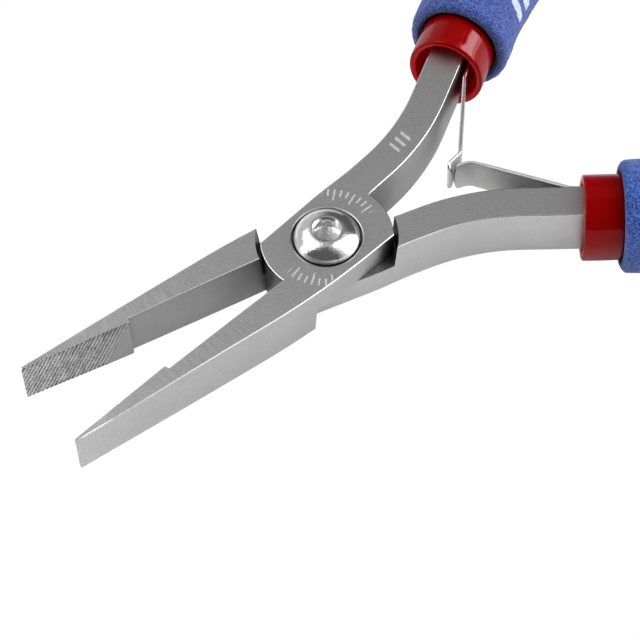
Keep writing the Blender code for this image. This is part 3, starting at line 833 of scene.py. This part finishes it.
def outline():
    """The half's plan, anticlockwise from the tip's outer corner, as (x, y, edge rounding)."""
    # the outer side of the jaw and the head
    head_start = -4.2
    rows = [(x, jaw_outer(x), min(ROUND_SIDE, jaw_width(x) * 0.28))
            for x in steps(TIP_X, head_start, 40)]
    corner = math.sqrt(BOSS_R ** 2 - HEAD_HALF_WIDTH ** 2)
    rows += [(x, jaw_outer(x), ROUND_SIDE) for x in steps(head_start, corner, 8)[1:]]
    # the boss, round to the handle
    inner = across(0.0, -TANG_WIDTH / 2)
    first = -math.degrees(math.asin(HEAD_HALF_WIDTH / BOSS_R))
    last = math.degrees(math.asin(inner[1] / BOSS_R)) - 0.4
    rows += [(*point, ROUND_BOSS_HANDLE) for point in arc(BOSS_R, first, last, 30)[1:]]
    # out along the handle's inner side and back along its outer side
    total = MOUTH + TANG_LENGTH
    stations = [0.35] + steps(0.6, TANG_STRAIGHT, 3)
    stations += steps(TANG_STRAIGHT, BEND_END, 26)[1:]
    stations += steps(BEND_END, MOUTH, 5)[1:]
    stations += steps(MOUTH, total, 18)[1:]
    for side, run, rounding in ((-1, stations, ROUND_SIDE),
                                (1, stations[::-1], ROUND_HANDLE)):
        for distance in run:
            trim = TANG_END_TRIM if distance >= total - 1e-6 else 0
            rows.append((*across(distance, side * (TANG_WIDTH / 2 - trim)), rounding))
    # the head's +Y side
    outer = across(0.0, TANG_WIDTH / 2)
    top = (HEAD_TOP_X, HEAD_TOP[1])
    left = (-math.sqrt(BOSS_R ** 2 - HEAD_TOP[0] ** 2), HEAD_TOP[0])
    rows += [(*point, ROUND_HANDLE) for point in straight((outer[0] - 0.15, outer[1]), top, 6)]
    rows += [(*point, ROUND_HEAD) for point in straight(top, left, 8)]
    # the boss, round to the jaw
    start = 180 - math.degrees(math.asin(HEAD_TOP[0] / BOSS_R))
    end = 180 + math.degrees(math.asin(RELIEF[1] / BOSS_R))
    rows += [(*point, ROUND_BOSS_JAW) for point in arc(BOSS_R, start, end, 26)[1:]]
    # the relief, the step and the gripping face
    meet = (-math.sqrt(BOSS_R ** 2 - RELIEF[1] ** 2), -RELIEF[1])
    step = (PAD_END_X + 0.16, -RELIEF[0])
    rows += [(*point, ROUND_RELIEF) for point in straight(meet, step, 24)]
    rows.append((PAD_END_X + 0.05, -(PAD_FACE + 0.09), ROUND_PAD))
    rows += [(x, -PAD_FACE, ROUND_PAD) for x in steps(PAD_END_X - 0.06, TIP_X, 20)]
    return rows


def inset(rows, share):
    """Each corner of the outline moved inwards by its own rounding times share."""
    out = []
    for i, (x, y, rounding) in enumerate(rows):
        before_x, before_y, _ = rows[i - 1]
        after_x, after_y, _ = rows[(i + 1) % len(rows)]
        arriving = Vector((x - before_x, y - before_y)).normalized()
        leaving = Vector((after_x - x, after_y - y)).normalized()
        normal_in = Vector((-arriving.y, arriving.x))
        normal_out = Vector((-leaving.y, leaving.x))
        shift = (normal_in + normal_out) / max(0.35, 1 + normal_in.dot(normal_out))
        out.append((x + shift.x * rounding * share, y + shift.y * rounding * share))
    return out


def wall_slot(vertex, on_boss):
    """The material slot of an upright face, from its first corner."""
    x, y, _ = vertex.co
    if on_boss:
        return BORE
    # painted shade: the relief wall and the step by the pad take a darker copy of the satin steel
    if -0.9 < y < -0.4 and PAD_END_X < x < -BOSS_R + 0.3:
        return RELIEF_SHADE
    if -0.33 < y < 0.1 and PAD_END_X - 2.6 < x < PAD_END_X + 0.1:
        return RELIEF_SHADE
    return SATIN


def half_prism():
    """The outline as a prism with rounded long edges."""
    rows = outline()
    shape = bmesh.new()
    turns = angles(0.0, 90.0, 4)
    levels = [(turn, -1) for turn in reversed(turns)] + [(turn, 1) for turn in turns]
    rings = []
    for turn, sign in levels:
        down = 0.5 * (1 - math.sin(turn))
        rings.append([shape.verts.new((x, y, sign * (HALF_THICK - row[2] * down)))
                      for row, (x, y) in zip(rows, inset(rows, 1 - math.cos(turn)))])
    count = len(rows)
    boss = [abs(math.hypot(x, y) - BOSS_R) < 1e-6 for x, y, _ in rows]
    wall = len(turns) - 1
    for n, (low, high) in enumerate(zip(rings, rings[1:])):
        for i in range(count):
            j = (i + 1) % count
            face = shape.faces.new((low[i], low[j], high[j], high[i]))
            face.material_index = wall_slot(low[i], boss[i] and boss[j]) if n == wall else EDGE
    shape.faces.new(rings[0])
    shape.faces.new(rings[-1])
    return shape


def pocket_tool():
    """The recess for the other half's boss."""
    depth = -5
    rim = POCKET_R - POCKET_FLARE * depth / HALF_THICK
    return revolved([(0, depth), (rim, depth), (POCKET_R, LAP_GAP), (0, LAP_GAP)],
                    160, [POCKET] * 3)


def counterbore_tool():
    """The seat of the screw head, with an eased mouth."""
    profile = [
        (0, SEAT_Z),
        (COUNTERBORE_R, SEAT_Z),
        (COUNTERBORE_R, HALF_THICK - 0.17),
        (COUNTERBORE_R + 0.05, HALF_THICK - 0.07),
        (COUNTERBORE_R + 0.16, HALF_THICK - 0.01),
        (COUNTERBORE_R + 0.34, HALF_THICK + 0.02),
        (COUNTERBORE_R + 0.4, HALF_THICK + 0.3),
        (0, HALF_THICK + 0.3),
    ]
    return revolved(profile, 160, [SATIN, BORE] + [SATIN] * 5)


def rivet_tool(distance):
    """A hole across the handle, level with the joint's middle plane."""
    shape = cylinder(RIVET_R + RIVET_GAP, -5, 5, 32)
    (x, y), heading = centreline(MOUTH + distance)
    shape.transform(Matrix.Translation((x, y, 0)) @ Matrix.Rotation(heading, 4, "Z")
                    @ Matrix.Rotation(math.radians(-90), 4, "X"))
    return shape


def groove_tool(deep):
    """One comb of slanting V cuts for the gripping face, shallower towards the step."""
    rng = np.random.default_rng(7)

    def jitter(amount):
        return amount * rng.uniform(-1, 1)

    cosine, sine = math.cos(math.radians(GROOVE_ANGLE)), math.sin(math.radians(GROOVE_ANGLE))
    along = Vector((cosine, 0, -sine))
    teeth = []
    x = TIP_X - 1.35
    last = PAD_END_X - 1.30
    while x < last:
        fade = min(1.0, 0.25 + (last - x) / 3.6)
        width = 0.375 * (0.55 + 0.45 * fade) * (1 + jitter(0.05))
        depth = GROOVE_DEPTH * deep * fade * (1 + jitter(0.28))
        tilt = jitter(0.007)
        lean = jitter(0.04)
        teeth.append((x * sine, width, depth, tilt, lean))
        x += GROOVE_PITCH * (1 + jitter(0.07))
    rings = []
    for end in (-4.4, 4.4):
        ring = []
        for middle, width, depth, tilt, lean in teeth:
            middle += tilt * (1 if end > 0 else -1)
            root = middle + lean * width
            ring += [(middle - width / 2, 0.003), (root - 0.016, -depth),
                     (root + 0.016, -depth), (middle + width / 2, 0.003)]
        ring += [(ring[-1][0] + 0.2, 0.6), (ring[0][0] - 0.2, 0.6)]
        rings.append([Vector((u / sine, y - PAD_FACE, 0)) + along * end for u, y in ring])
    shape = bridge(rings)
    for n, face in enumerate(shape.faces):
        # painted shade: the groove roots and one flank of each take the darker pad tone
        face.material_index = PAD_SHADE if n % 4 in (1, 2) else PAD
    return shape


def ease_corners(obj):
    """Small ground corners on the cut edges and ends; the serrations stay sharp."""
    with editing(obj.data) as shape:
        weight = shape.edges.layers.float.new("bevel_weight_edge")
        for edge in shape.edges:
            middle = (edge.verts[0].co + edge.verts[1].co) * (0.5 / MM)
            serrated = middle.x < PAD_END_X - 0.3 and middle.y > -0.33
            sharp = (len(edge.link_faces) == 2
                     and edge.calc_face_angle(0.0) > math.radians(40))
            edge[weight] = 1.0 if sharp and not serrated else 0.0
    modify(obj, "corners", "BEVEL", width=0.06 * MM, segments=2, limit_method="WEIGHT",
           material=EDGE, use_clamp_overlap=True, miter_outer="MITER_SHARP")


def taper_jaw(obj):
    """Lowers the jaw towards its tip, the top a little more on its outer side."""
    with editing(obj.data) as shape:
        shape.transform(Matrix.Scale(1 / MM, 4))
        for x in steps(TIP_X + 1.2, -7.6, 16):
            bmesh.ops.bisect_plane(shape, geom=shape.verts[:] + shape.edges[:] + shape.faces[:],
                                   plane_co=(x, 0, 0), plane_no=(1, 0, 0), dist=1e-4)
        for vertex in shape.verts:
            x, y, z = vertex.co
            if x >= -BOSS_R:
                continue
            vertex.co.z = z * half_height(x) / HALF_THICK
            if z > HALF_THICK - 0.3:
                width = jaw_width(x)
                outward = min(1.0, max(0.0, (-PAD_FACE - y) / width))
                vertex.co.z -= min(outer_drop(x), 0.30 * width) * outward
        shape.transform(Matrix.Scale(MM, 4))


def half_mesh(name, materials, counterbored):
    obj = to_object(half_prism(), name, materials, smooth=CUT_SMOOTH)
    cut(obj, pocket_tool())
    if counterbored:
        cut(obj, cylinder(BORE_R, -1, 5, 96))
        cut(obj, counterbore_tool())
    else:
        cut(obj, cylinder(TAPPED_R, -1, 5, 96))
    for distance in RIVET_AT:
        cut(obj, rivet_tool(distance))
    cut(obj, groove_tool(deep=0.5 if counterbored else 1.0), merge=False)
    ease_corners(obj)
    taper_jaw(obj)
    shade(obj.data, CUT_SMOOTH)
    modify(obj, "flats", "WEIGHTED_NORMAL", mode="FACE_AREA", weight=100, keep_sharp=True)
    return obj


# =====================================================================================
# screw
# =====================================================================================
def screw_mesh(name, material):
    """A shouldered button head screw with a hexagon socket."""
    under = SEAT_Z + 0.05
    crown = [(HEAD_R * math.cos(a) ** 0.75, under + 0.25 + (HEAD_HEIGHT - 0.25) * math.sin(a))
             for a in angles(0, 66, 34)]
    top = crown[-1][1]
    shank = [
        (0, -HALF_THICK),
        (SHANK_R - 0.3, -HALF_THICK),
        (SHANK_R, -HALF_THICK + 0.3),
        (SHANK_R, 0.02),
        (SHOULDER_R, 0.02),
        (SHOULDER_R, under),
        (HEAD_R - 0.12, under),
        (HEAD_R, under + 0.12),
    ]
    rim = [(1.66, top + 0.035), (1.56, top + 0.02), (1.50, top - 0.03), (1.36, top - 0.20),
           (0, top - 0.20)]
    obj = to_object(revolved(shank + crown[1:-1] + rim, 160), name, [material], MIDDLE,
                    smooth=26)
    corner = HEX_AF / math.sqrt(3)
    turns = [math.radians(60 * k + HEX_TURN) for k in range(6)]
    socket = top - HEX_DEPTH
    cut(obj, bridge([[(corner * math.cos(a), corner * math.sin(a), z) for a in turns]
                     for z in (socket, top + 1)]))
    # the drilled point below the hexagon
    cut(obj, revolved([(0, socket - DRILL_DEPTH), (DRILL_R, socket + 0.002),
                       (DRILL_R, socket + 0.1), (0, socket + 0.1)], 48))
    modify(obj, "corners", "BEVEL", width=0.03 * MM, segments=2, limit_method="ANGLE",
           angle_limit=math.radians(35))
    shade(obj.data, 26)
    return obj


# =====================================================================================
# sleeves and foam
# =====================================================================================
def oval(distance, axes, grow, count, wobble=None):
    """A ring about the handle, with half axes larger by grow and by each point's wobble."""
    ring = []
    for k in range(count):
        turn = 2 * math.pi * k / count
        extra = grow if wobble is None else grow + wobble[k]
        point = across(MOUTH + distance, (axes[0] + extra) * math.cos(turn))
        ring.append((*point, (axes[1] + extra) * math.sin(turn)))
    return ring


def sleeve_mesh(name, materials, matrix):
    def outside(distance, grow):
        return oval(distance, SLEEVE_OUT, grow, SLEEVE_AROUND)

    def inside(distance, grow):
        return oval(distance, SLEEVE_IN, grow, SLEEVE_AROUND)

    # closed rear end, a soft dome
    rings = [outside(SLEEVE_LENGTH - 3.0 * (1 - math.sin(a)), -3.4 * (1 - math.cos(a) ** 0.8))
             for a in angles(86, 0, 12)]
    for distance in steps(SLEEVE_LENGTH - 4.0, 1.2, 60):
        wave = 0.03 * math.sin(distance * 0.9) + 0.02 * math.sin(distance * 2.3 + 1)
        rings.append(outside(distance, wave * 0.5))
    # the lip: a small outer round, a flat end, a softer inner round
    quarter = angles(0, 90, 6)
    rings += [outside(LIP_OUTER_R - LIP_OUTER_R * math.sin(a),
                      -LIP_OUTER_R * (1 - math.cos(a))) for a in quarter]
    bore_start = len(rings) - 1
    rings += [inside(LIP_INNER_R * (1 - math.cos(a)),
                     MOUTH_FLARE + LIP_INNER_R * (1 - math.sin(a))) for a in quarter]
    rings += [inside(distance, MOUTH_FLARE * math.exp(-(distance - LIP_INNER_R) / 2.0))
              for distance in steps(0.8, SLEEVE_BORE, 40)]
    obj = to_object(bridge(rings), name, materials, matrix, smooth=60)
    for face in obj.data.polygons:
        if min(v // SLEEVE_AROUND for v in face.vertices) >= bore_start:
            face.material_index = 1
    return obj


def foam_profile():
    """The tube's section as (distance, wall beyond the sleeve, share of the skin's noise)."""
    length = FOAM_END - FOAM_START

    def wall(share):
        if share >= 0.87:
            return FOAM_WALL
        return FOAM_WALL + FOAM_SWELL * math.sin(math.pi * min(1.0, share * 1.15)) ** 0.8

    # an end, from its inner edge round the shoulder, by distance from the end
    end = [(0.02, FOAM_GAP + 0.22, 0.5), (0.0, FOAM_GAP + 0.40, 0.8)]
    end += [(FOAM_SHOULDER_R * (1 - math.cos(a)),
             FOAM_WALL - FOAM_SHOULDER_R * (1 - math.sin(a)), 1.0) for a in angles(0, 90, 9)]
    front = [(FOAM_START + deep, grow, rough) for deep, grow, rough in end]
    rear = [(FOAM_END - deep, grow, rough) for deep, grow, rough in reversed(end)]
    body = [(FOAM_START + FOAM_SHOULDER_R + (length - 2 * FOAM_SHOULDER_R) * k / FOAM_ALONG,
             wall(k / FOAM_ALONG), 1.0) for k in range(1, FOAM_ALONG)]
    inner = [(FOAM_END - 0.3 - (length - 0.6) * k / 12, FOAM_GAP, 0.0) for k in range(13)]
    return front + body + rear + inner


def skin_noise(rng, rows, cell):
    """Smooth random values over the tube's skin, at one cell size."""
    cells_along = int((FOAM_END - FOAM_START) / cell)
    cells_around = int(FOAM_GIRTH / cell)
    coarse = rng.normal(0, 1, (cells_along + 3, cells_around))
    along = np.linspace(0, cells_along, rows)
    around = np.linspace(0, cells_around, FOAM_AROUND, endpoint=False)
    row = np.floor(along).astype(int)
    column = np.floor(around).astype(int)
    u = (along - row)[:, None]
    v = (around - column)[None, :]
    u = u * u * (3 - 2 * u)
    v = v * v * (3 - 2 * v)

    def corner(i, j):
        return coarse[np.ix_(row + i, (column + j) % cells_around)]

    return (corner(0, 0) * (1 - u) * (1 - v) + corner(1, 0) * u * (1 - v)
            + corner(0, 1) * (1 - u) * v + corner(1, 1) * u * v)


# the foam skin's noise: height (mm), cell size (mm)
SKIN_SCALES = ((0.030, 0.26), (0.018, 0.45), (0.007, 1.3), (0.010, 6.0))
SKIN_LIMIT = 0.14


def foam_mesh(name, material, matrix, seed):
    """A thick tube whose skin is pushed in and out by a few scales of smooth noise."""
    rng = np.random.default_rng(seed)
    profile = foam_profile()
    rows = len(profile)
    skin = sum(height * skin_noise(rng, rows, cell) for height, cell in SKIN_SCALES)
    skin = np.clip(skin, -SKIN_LIMIT, SKIN_LIMIT)
    # the tube is a little thinner on the side of the other handle
    turns = np.arange(FOAM_AROUND) / FOAM_AROUND
    facing = np.clip(-np.cos(2 * np.pi * turns), 0.0, 1.0)
    rings = []
    for k, (distance, wall, rough) in enumerate(profile):
        ramp = min(1.0, max(0.0, (distance - FOAM_START - 0.5) / 6.0)) if rough == 1.0 else 0.0
        ease = ramp * ramp * (3 - 2 * ramp)
        lean = FOAM_LEAN * ease * min(1.0, (FOAM_END - distance) / 6.0)
        rings.append(oval(distance, SLEEVE_OUT, wall, FOAM_AROUND,
                          skin[k] * rough - lean * facing))
    points = np.array(rings, np.float32).reshape(-1, 3) * MM
    i = np.arange(rows)[:, None]
    j = np.arange(FOAM_AROUND)[None, :]
    next_i = (i + 1) % rows
    next_j = (j + 1) % FOAM_AROUND
    corners = [a * FOAM_AROUND + b for a, b in ((i, j), (i, next_j), (next_i, next_j), (next_i, j))]
    quads = np.stack(corners, -1).reshape(-1, 4)
    mesh = bpy.data.meshes.new(name)
    mesh.from_pydata(points.tolist(), [], quads.tolist())
    mesh.validate()
    with editing(mesh) as shape:
        bmesh.ops.recalc_face_normals(shape, faces=shape.faces)
    # places on the skin, in millimetres, for the printed bars
    girth = (SLEEVE_OUT[0] + 1.6) * math.pi * 2
    around = np.tile(girth * np.where(turns <= 0.5, turns, turns - 1), rows)
    along = np.repeat([row[0] for row in profile], FOAM_AROUND)
    for label, values in (("around", around), ("along", along)):
        attribute = mesh.attributes.new(label, "FLOAT", "POINT")
        attribute.data.foreach_set("value", values.astype(np.float32))
    mesh.shade_smooth()
    mesh.materials.append(material)
    obj = bpy.data.objects.new(name, mesh)
    scene.collection.objects.link(obj)
    obj.matrix_world = matrix
    return obj


# =====================================================================================
# leaves
# =====================================================================================
def opened(point, side):
    """A point of a closed half, turned open; side is 1 for the upper half, -1 for the lower."""
    turn = math.radians(HALF_OPENING)
    x, y = point
    return (x * math.cos(turn) - y * math.sin(turn),
            side * (x * math.sin(turn) + y * math.cos(turn)))


def rounded(points, radii, count=14):
    """The line with each inner corner replaced by an arc."""
    out = [points[0]]
    for before, corner, after, radius in zip(points, points[1:], points[2:], radii):
        back = Vector((before[0] - corner[0], before[1] - corner[1])).normalized()
        ahead = Vector((after[0] - corner[0], after[1] - corner[1])).normalized()
        angle = math.acos(max(-1, min(1, back.dot(ahead))))
        if angle > math.pi - 1e-3:
            out.append(corner)
            continue
        reach = radius / math.tan(angle / 2)
        middle = (back + ahead).normalized()
        centre = Vector(corner) + middle * (radius / math.sin(angle / 2))
        start = Vector(corner) + back * reach - centre
        end = Vector(corner) + ahead * reach - centre
        total = math.atan2(start.x * end.y - start.y * end.x, start.dot(end))
        for k in range(count):
            turn = total * k / (count - 1)
            cosine, sine = math.cos(turn), math.sin(turn)
            out.append((centre.x + start.x * cosine - start.y * sine,
                        centre.y + start.x * sine + start.y * cosine))
    out.append(points[-1])
    return out


def leaf_line(side, corner, end, end_r):
    """A leaf's line: along the handle's inner side, off it at the knee, back at the corner."""
    offset = -(TANG_WIDTH / 2 + LEAF_GAP + LEAF_T / 2)
    root = [across(MOUTH + distance, offset) for distance in steps(LEAF_ROOT, LEAF_FLAT, 4)]
    knee = across(MOUTH + LEAF_KNEE[0], LEAF_KNEE[1])
    points = [opened(point, side) for point in root + [knee]] + [corner, end]
    return rounded(points, [30, 30, 30, 8, 1.5, end_r])


def hook(points):
    """A curl that carries on from the line's last point."""
    (before_x, before_y), (x, y) = points[-2:]
    heading = math.atan2(y - before_y, x - before_x)
    centre_x = x - HOOK_R * math.sin(heading)
    centre_y = y + HOOK_R * math.cos(heading)
    turns = [heading - math.pi / 2 + math.radians(HOOK_TURN) * k / 20 for k in range(1, 21)]
    return [(centre_x + HOOK_R * math.cos(a), centre_y + HOOK_R * math.sin(a)) for a in turns]


def resampled(points, step):
    """The line with long straights divided, so that it can bend smoothly."""
    out = [points[0]]
    for start, end in zip(points, points[1:]):
        count = max(1, int(math.dist(start, end) / step))
        out += [(start[0] + (end[0] - start[0]) * k / count,
                 start[1] + (end[1] - start[1]) * k / count) for k in range(1, count + 1)]
    return out


def strip_section(half, high, edge):
    """The strip's section as (across, z): round rolled edges, broad faces in six spans."""
    top = [(half - LEAF_EDGE_R * (1 - math.cos(a)), high - edge * (1 - math.sin(a)))
           for a in angles(0, 90, 4)]
    section = [(n, -z) for n, z in reversed(top)]
    section += [(half, z) for z in steps(-high + edge, high - edge, 6)[1:-1]]
    section += top
    section += [(-n, z) for n, z in reversed(top)]
    section += [(-half, z) for z in steps(high - edge, -high + edge, 6)[1:-1]]
    section += [(-n, -z) for n, z in top]
    return section


def leaf_mesh(name, materials, line, end_reach, corner):
    """A rolled strip with eased edges. Its free end is rounded over end_reach, by corner."""
    line = resampled(line, 0.35)
    lengths = [0.0]
    for start, end in zip(line, line[1:]):
        lengths.append(lengths[-1] + math.dist(start, end))
    total = lengths[-1]
    end_start = total - end_reach
    # more stations over the rounded end
    marks = [length for length in lengths if length < end_start]
    marks += [total - end_reach * (1 - math.sin(a)) for a in angles(0, 90, 10)]
    marks = sorted({round(mark, 5) for mark in marks})

    def point_at(distance):
        for k in range(1, len(lengths)):
            if distance <= lengths[k] + 1e-9:
                share = (distance - lengths[k - 1]) / (lengths[k] - lengths[k - 1])
                return Vector(line[k - 1]).lerp(Vector(line[k]), share)
        return Vector(line[-1])

    rings = []
    for mark in marks:
        x, y = point_at(mark)
        ahead = point_at(min(total, mark + 0.02))
        heading = (ahead - point_at(max(0, mark - 0.02))).normalized()
        past = max(0.0, (mark - end_start) / end_reach)
        high = LEAF_HALF_HEIGHT - corner * (1 - math.sqrt(max(0.0, 1 - past ** 2.4)))
        edge = min(LEAF_EDGE_R, high * 0.8)
        swell = min(1.0, max(0.0, (mark - LEAF_ROOT) / 3.0))
        swell *= min(1.0, max(0.0, (total - 2.4 - mark) / 1.5))
        section = strip_section(LEAF_T / 2 + LEAF_SWELL * swell, high, edge)
        rings.append([(x - heading.y * n, y + heading.x * n, z + LIFT) for n, z in section])
    obj = to_object(bridge(rings), name, materials, smooth=40)
    top = (LIFT + LEAF_HALF_HEIGHT - 0.15) * MM
    for face in obj.data.polygons:
        if min(obj.data.vertices[v].co.z for v in face.vertices) > top:
            face.material_index = 1
    return obj


# =====================================================================================
# the object
# =====================================================================================
def register(obj, rides, replaces):
    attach(obj, rides)
    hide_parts(replaces)


edge_look = polished_edge("edge_polish")
sheared_look = polished_edge("sheared_edge", rough=0.42)
# pad tones, set against the satin steel's: the cut faces are painted lighter (painted light), the
# groove roots and one flank darker (painted shade)
pad_look = pad_steel("pad_cut", tone=0.95)
pad_shade_look = pad_steel("pad_cut_painted_shade", tone=0.34)
# painted shade: a darker copy of the satin steel for the relief wall
relief_shade_look = satin_steel("relief_painted_shade", tone=0.465)
pocket_look = turned_steel("turned_pocket", tone=0.22)
bore_look = turned_steel("bore_steel", tone=0.30)

# painted light: the lower half's upright faces are painted brighter than the upper half's
for tag, matrix, is_upper, wall_light in (("upper", UPPER, True, 1.0), ("lower", LOWER, False, 1.11)):
    satin_look = satin_steel(f"satin_steel_{tag}_look", tone=0.57, marks=is_upper, wall_light=wall_light)
    # in the order of the slot numbers of a half
    looks = [satin_look, edge_look, pad_look, bore_look, pocket_look, pad_shade_look, relief_shade_look]
    half = half_mesh("steel_half_" + tag, looks, counterbored=is_upper)
    half.matrix_world = matrix
    register(half, tag, tag + "_half")

screw = screw_mesh("button_head_screw", chrome("bright_screw_look"))
register(screw, "lower", "pivot_screw")

for tag, matrix, seed, foam in (
        ("upper", UPPER, 11, dict(marks=True, depth=0.10, cast=(1.0, 1.0, 1.0))),
        ("lower", LOWER, 23, dict(marks=False, depth=0.065, cast=(0.80, 1.02, 1.10)))):
    looks = [red_vinyl("red_vinyl_look_" + tag), red_bore("red_bore_look_" + tag)]
    sleeve = sleeve_mesh("vinyl_sleeve_" + tag, looks, matrix)
    register(sleeve, tag, "red_sleeve_" + tag)
    grip = foam_mesh("foam_tube_" + tag, blue_foam("blue_foam_look_" + tag, **foam), matrix, seed)
    register(grip, tag, "foam_grip_" + tag)

hooked = leaf_line(1, HOOK_CORNER, HOOK_START, end_r=0.9)
hooked += hook(hooked)
resting = leaf_line(-1, REST_CORNER, REST_END, end_r=2.0)
for tag, side, line, edge, end_reach, corner in (
        ("upper", 1, hooked, edge_look, 1.2, 1.5),
        ("lower", -1, resting, sheared_look, 0.62, 2.0)):
    leaf = leaf_mesh("return_leaf_" + tag, [spring_steel("spring_look_" + tag), edge],
                     line, end_reach, corner)
    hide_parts("leaf_spring_" + tag)
    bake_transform(leaf)

rivet_look = satin_steel("rivet_look", tone=0.46)
for tag in ("upper", "lower"):
    for place in ("front", "rear"):
        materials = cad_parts[f"leaf_rivet_{tag}_{place}"].data.materials
        materials.clear()
        materials.append(rivet_look)

# =====================================================================================
# stage, lights and camera, in metres
# =====================================================================================
FLOOR_HALF_SIZE = 3.0
FLOOR_GAP = 0.0002
BACKDROP = 1.02                       # brightness of floor and sky as the camera sees them

# soft boxes of the sky: azimuth, half width, lowest and highest elevation, soft edge
# (all in degrees), brightness
SKY_DIM = 0.10
SKY_BOXES = (
    (105, 46, -35, 40, 18, 0.52),
    (50, 60, 42, 95, 14, 0.275),
    (84, 18, 44, 88, 24, 0.66),
    (131, 33, 40, 60, 5, 3.6),
    (131, 33, 58, 79, 5, 1.7),
    (158, 7, -20, 43, 5, 3.0),
    (325, 24, -18, 48, 5, 4.2),
    (325, 24, 45, 80, 5, 1.9),
    (347, 12, 42, 80, 5, 1.7),
    (292, 13, -20, 75, 10, 0.65),
    (240, 180, 84, 100, 6, 0.4),
)

CAMERA_RIGHT = (0.81820696, -0.57431548, -0.02644037)
CAMERA_UP = (0.49207355, 0.67577358, 0.54881116)
CAMERA_BACK = (-0.29732304, -0.46205172, 0.83552811)
CAMERA_PLACE = (-0.0867319, -0.1326739, 0.2282566 + LIFT * MM)


def floor_white():
    """Plain white to the camera, and white paper to every other ray."""
    tree = Tree("floor_white")
    paper = tree.noise(tree.position(scale=1.0), scale=900.0)
    diffuse = tree.add("ShaderNodeBsdfDiffuse", {
        "Color": tree.grey(0.96, tree.gain(paper, by=0.02, base=0.99))})
    white = tree.add("ShaderNodeEmission", {"Color": (1, 1, 1, 1), "Strength": BACKDROP})
    seen = tree.add("ShaderNodeMixShader", {
        0: tree.camera_ray(), 1: diffuse.outputs[0], 2: white.outputs[0]})
    return tree.finish(seen.outputs[0])


def studio_sky():
    """The soft boxes that the parts mirror; the camera sees plain white."""
    tree = Tree("studio", world=True)
    x, y, z = tree.axes(tree.add("ShaderNodeTexCoord").outputs["Generated"])
    azimuth = tree.azimuth(x, y)
    elevation = tree.elevation(z)
    level = tree.math("MAXIMUM", SKY_DIM, 0.0)
    for middle, half, low, high, soft, brightness in SKY_BOXES:
        fade = soft / 2
        off = tree.off_azimuth(azimuth, middle)
        box = tree.ramp(off, over=(half + fade, half - fade), smooth=True)
        for over in ((low - fade, low + fade), (high + fade, high - fade)):
            box = tree.times(box, tree.ramp(elevation, over=over, smooth=True))
        level = tree.math("MAXIMUM", level, tree.times(box, brightness))
    seen = tree.camera_ray()
    level = tree.plus(tree.times(level, tree.math("SUBTRACT", 1.0, seen)),
                      tree.times(seen, BACKDROP))
    light = tree.add("ShaderNodeBackground", {"Color": (1, 1, 1, 1), "Strength": level})
    return tree.finish(light.outputs[0])


floor_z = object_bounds()[0][2] - FLOOR_GAP
floor_mesh = bpy.data.meshes.new("floor")
grid = bmesh.new()
bmesh.ops.create_grid(grid, x_segments=8, y_segments=8, size=FLOOR_HALF_SIZE)
grid.to_mesh(floor_mesh)
grid.free()
floor = bpy.data.objects.new("floor", floor_mesh)
floor.location = (0.03, 0, floor_z)
scene.collection.objects.link(floor)
floor_mesh.materials.append(floor_white())

scene.world = studio_sky()

camera = bpy.data.objects.new("camera", bpy.data.cameras.new("camera"))
scene.collection.objects.link(camera)
camera.data.sensor_width = 36.0
camera.data.lens = 146.19
camera.data.clip_start = 0.01
camera.data.clip_end = 20.0
view = Matrix((CAMERA_RIGHT, CAMERA_UP, CAMERA_BACK)).transposed().to_4x4()
camera.matrix_world = Matrix.Translation(CAMERA_PLACE) @ view
scene.camera = camera
scene.view_settings.view_transform = "Standard"
scene.view_settings.look = "None"
scene.view_settings.exposure = 0.0
scene.view_settings.gamma = 1.0
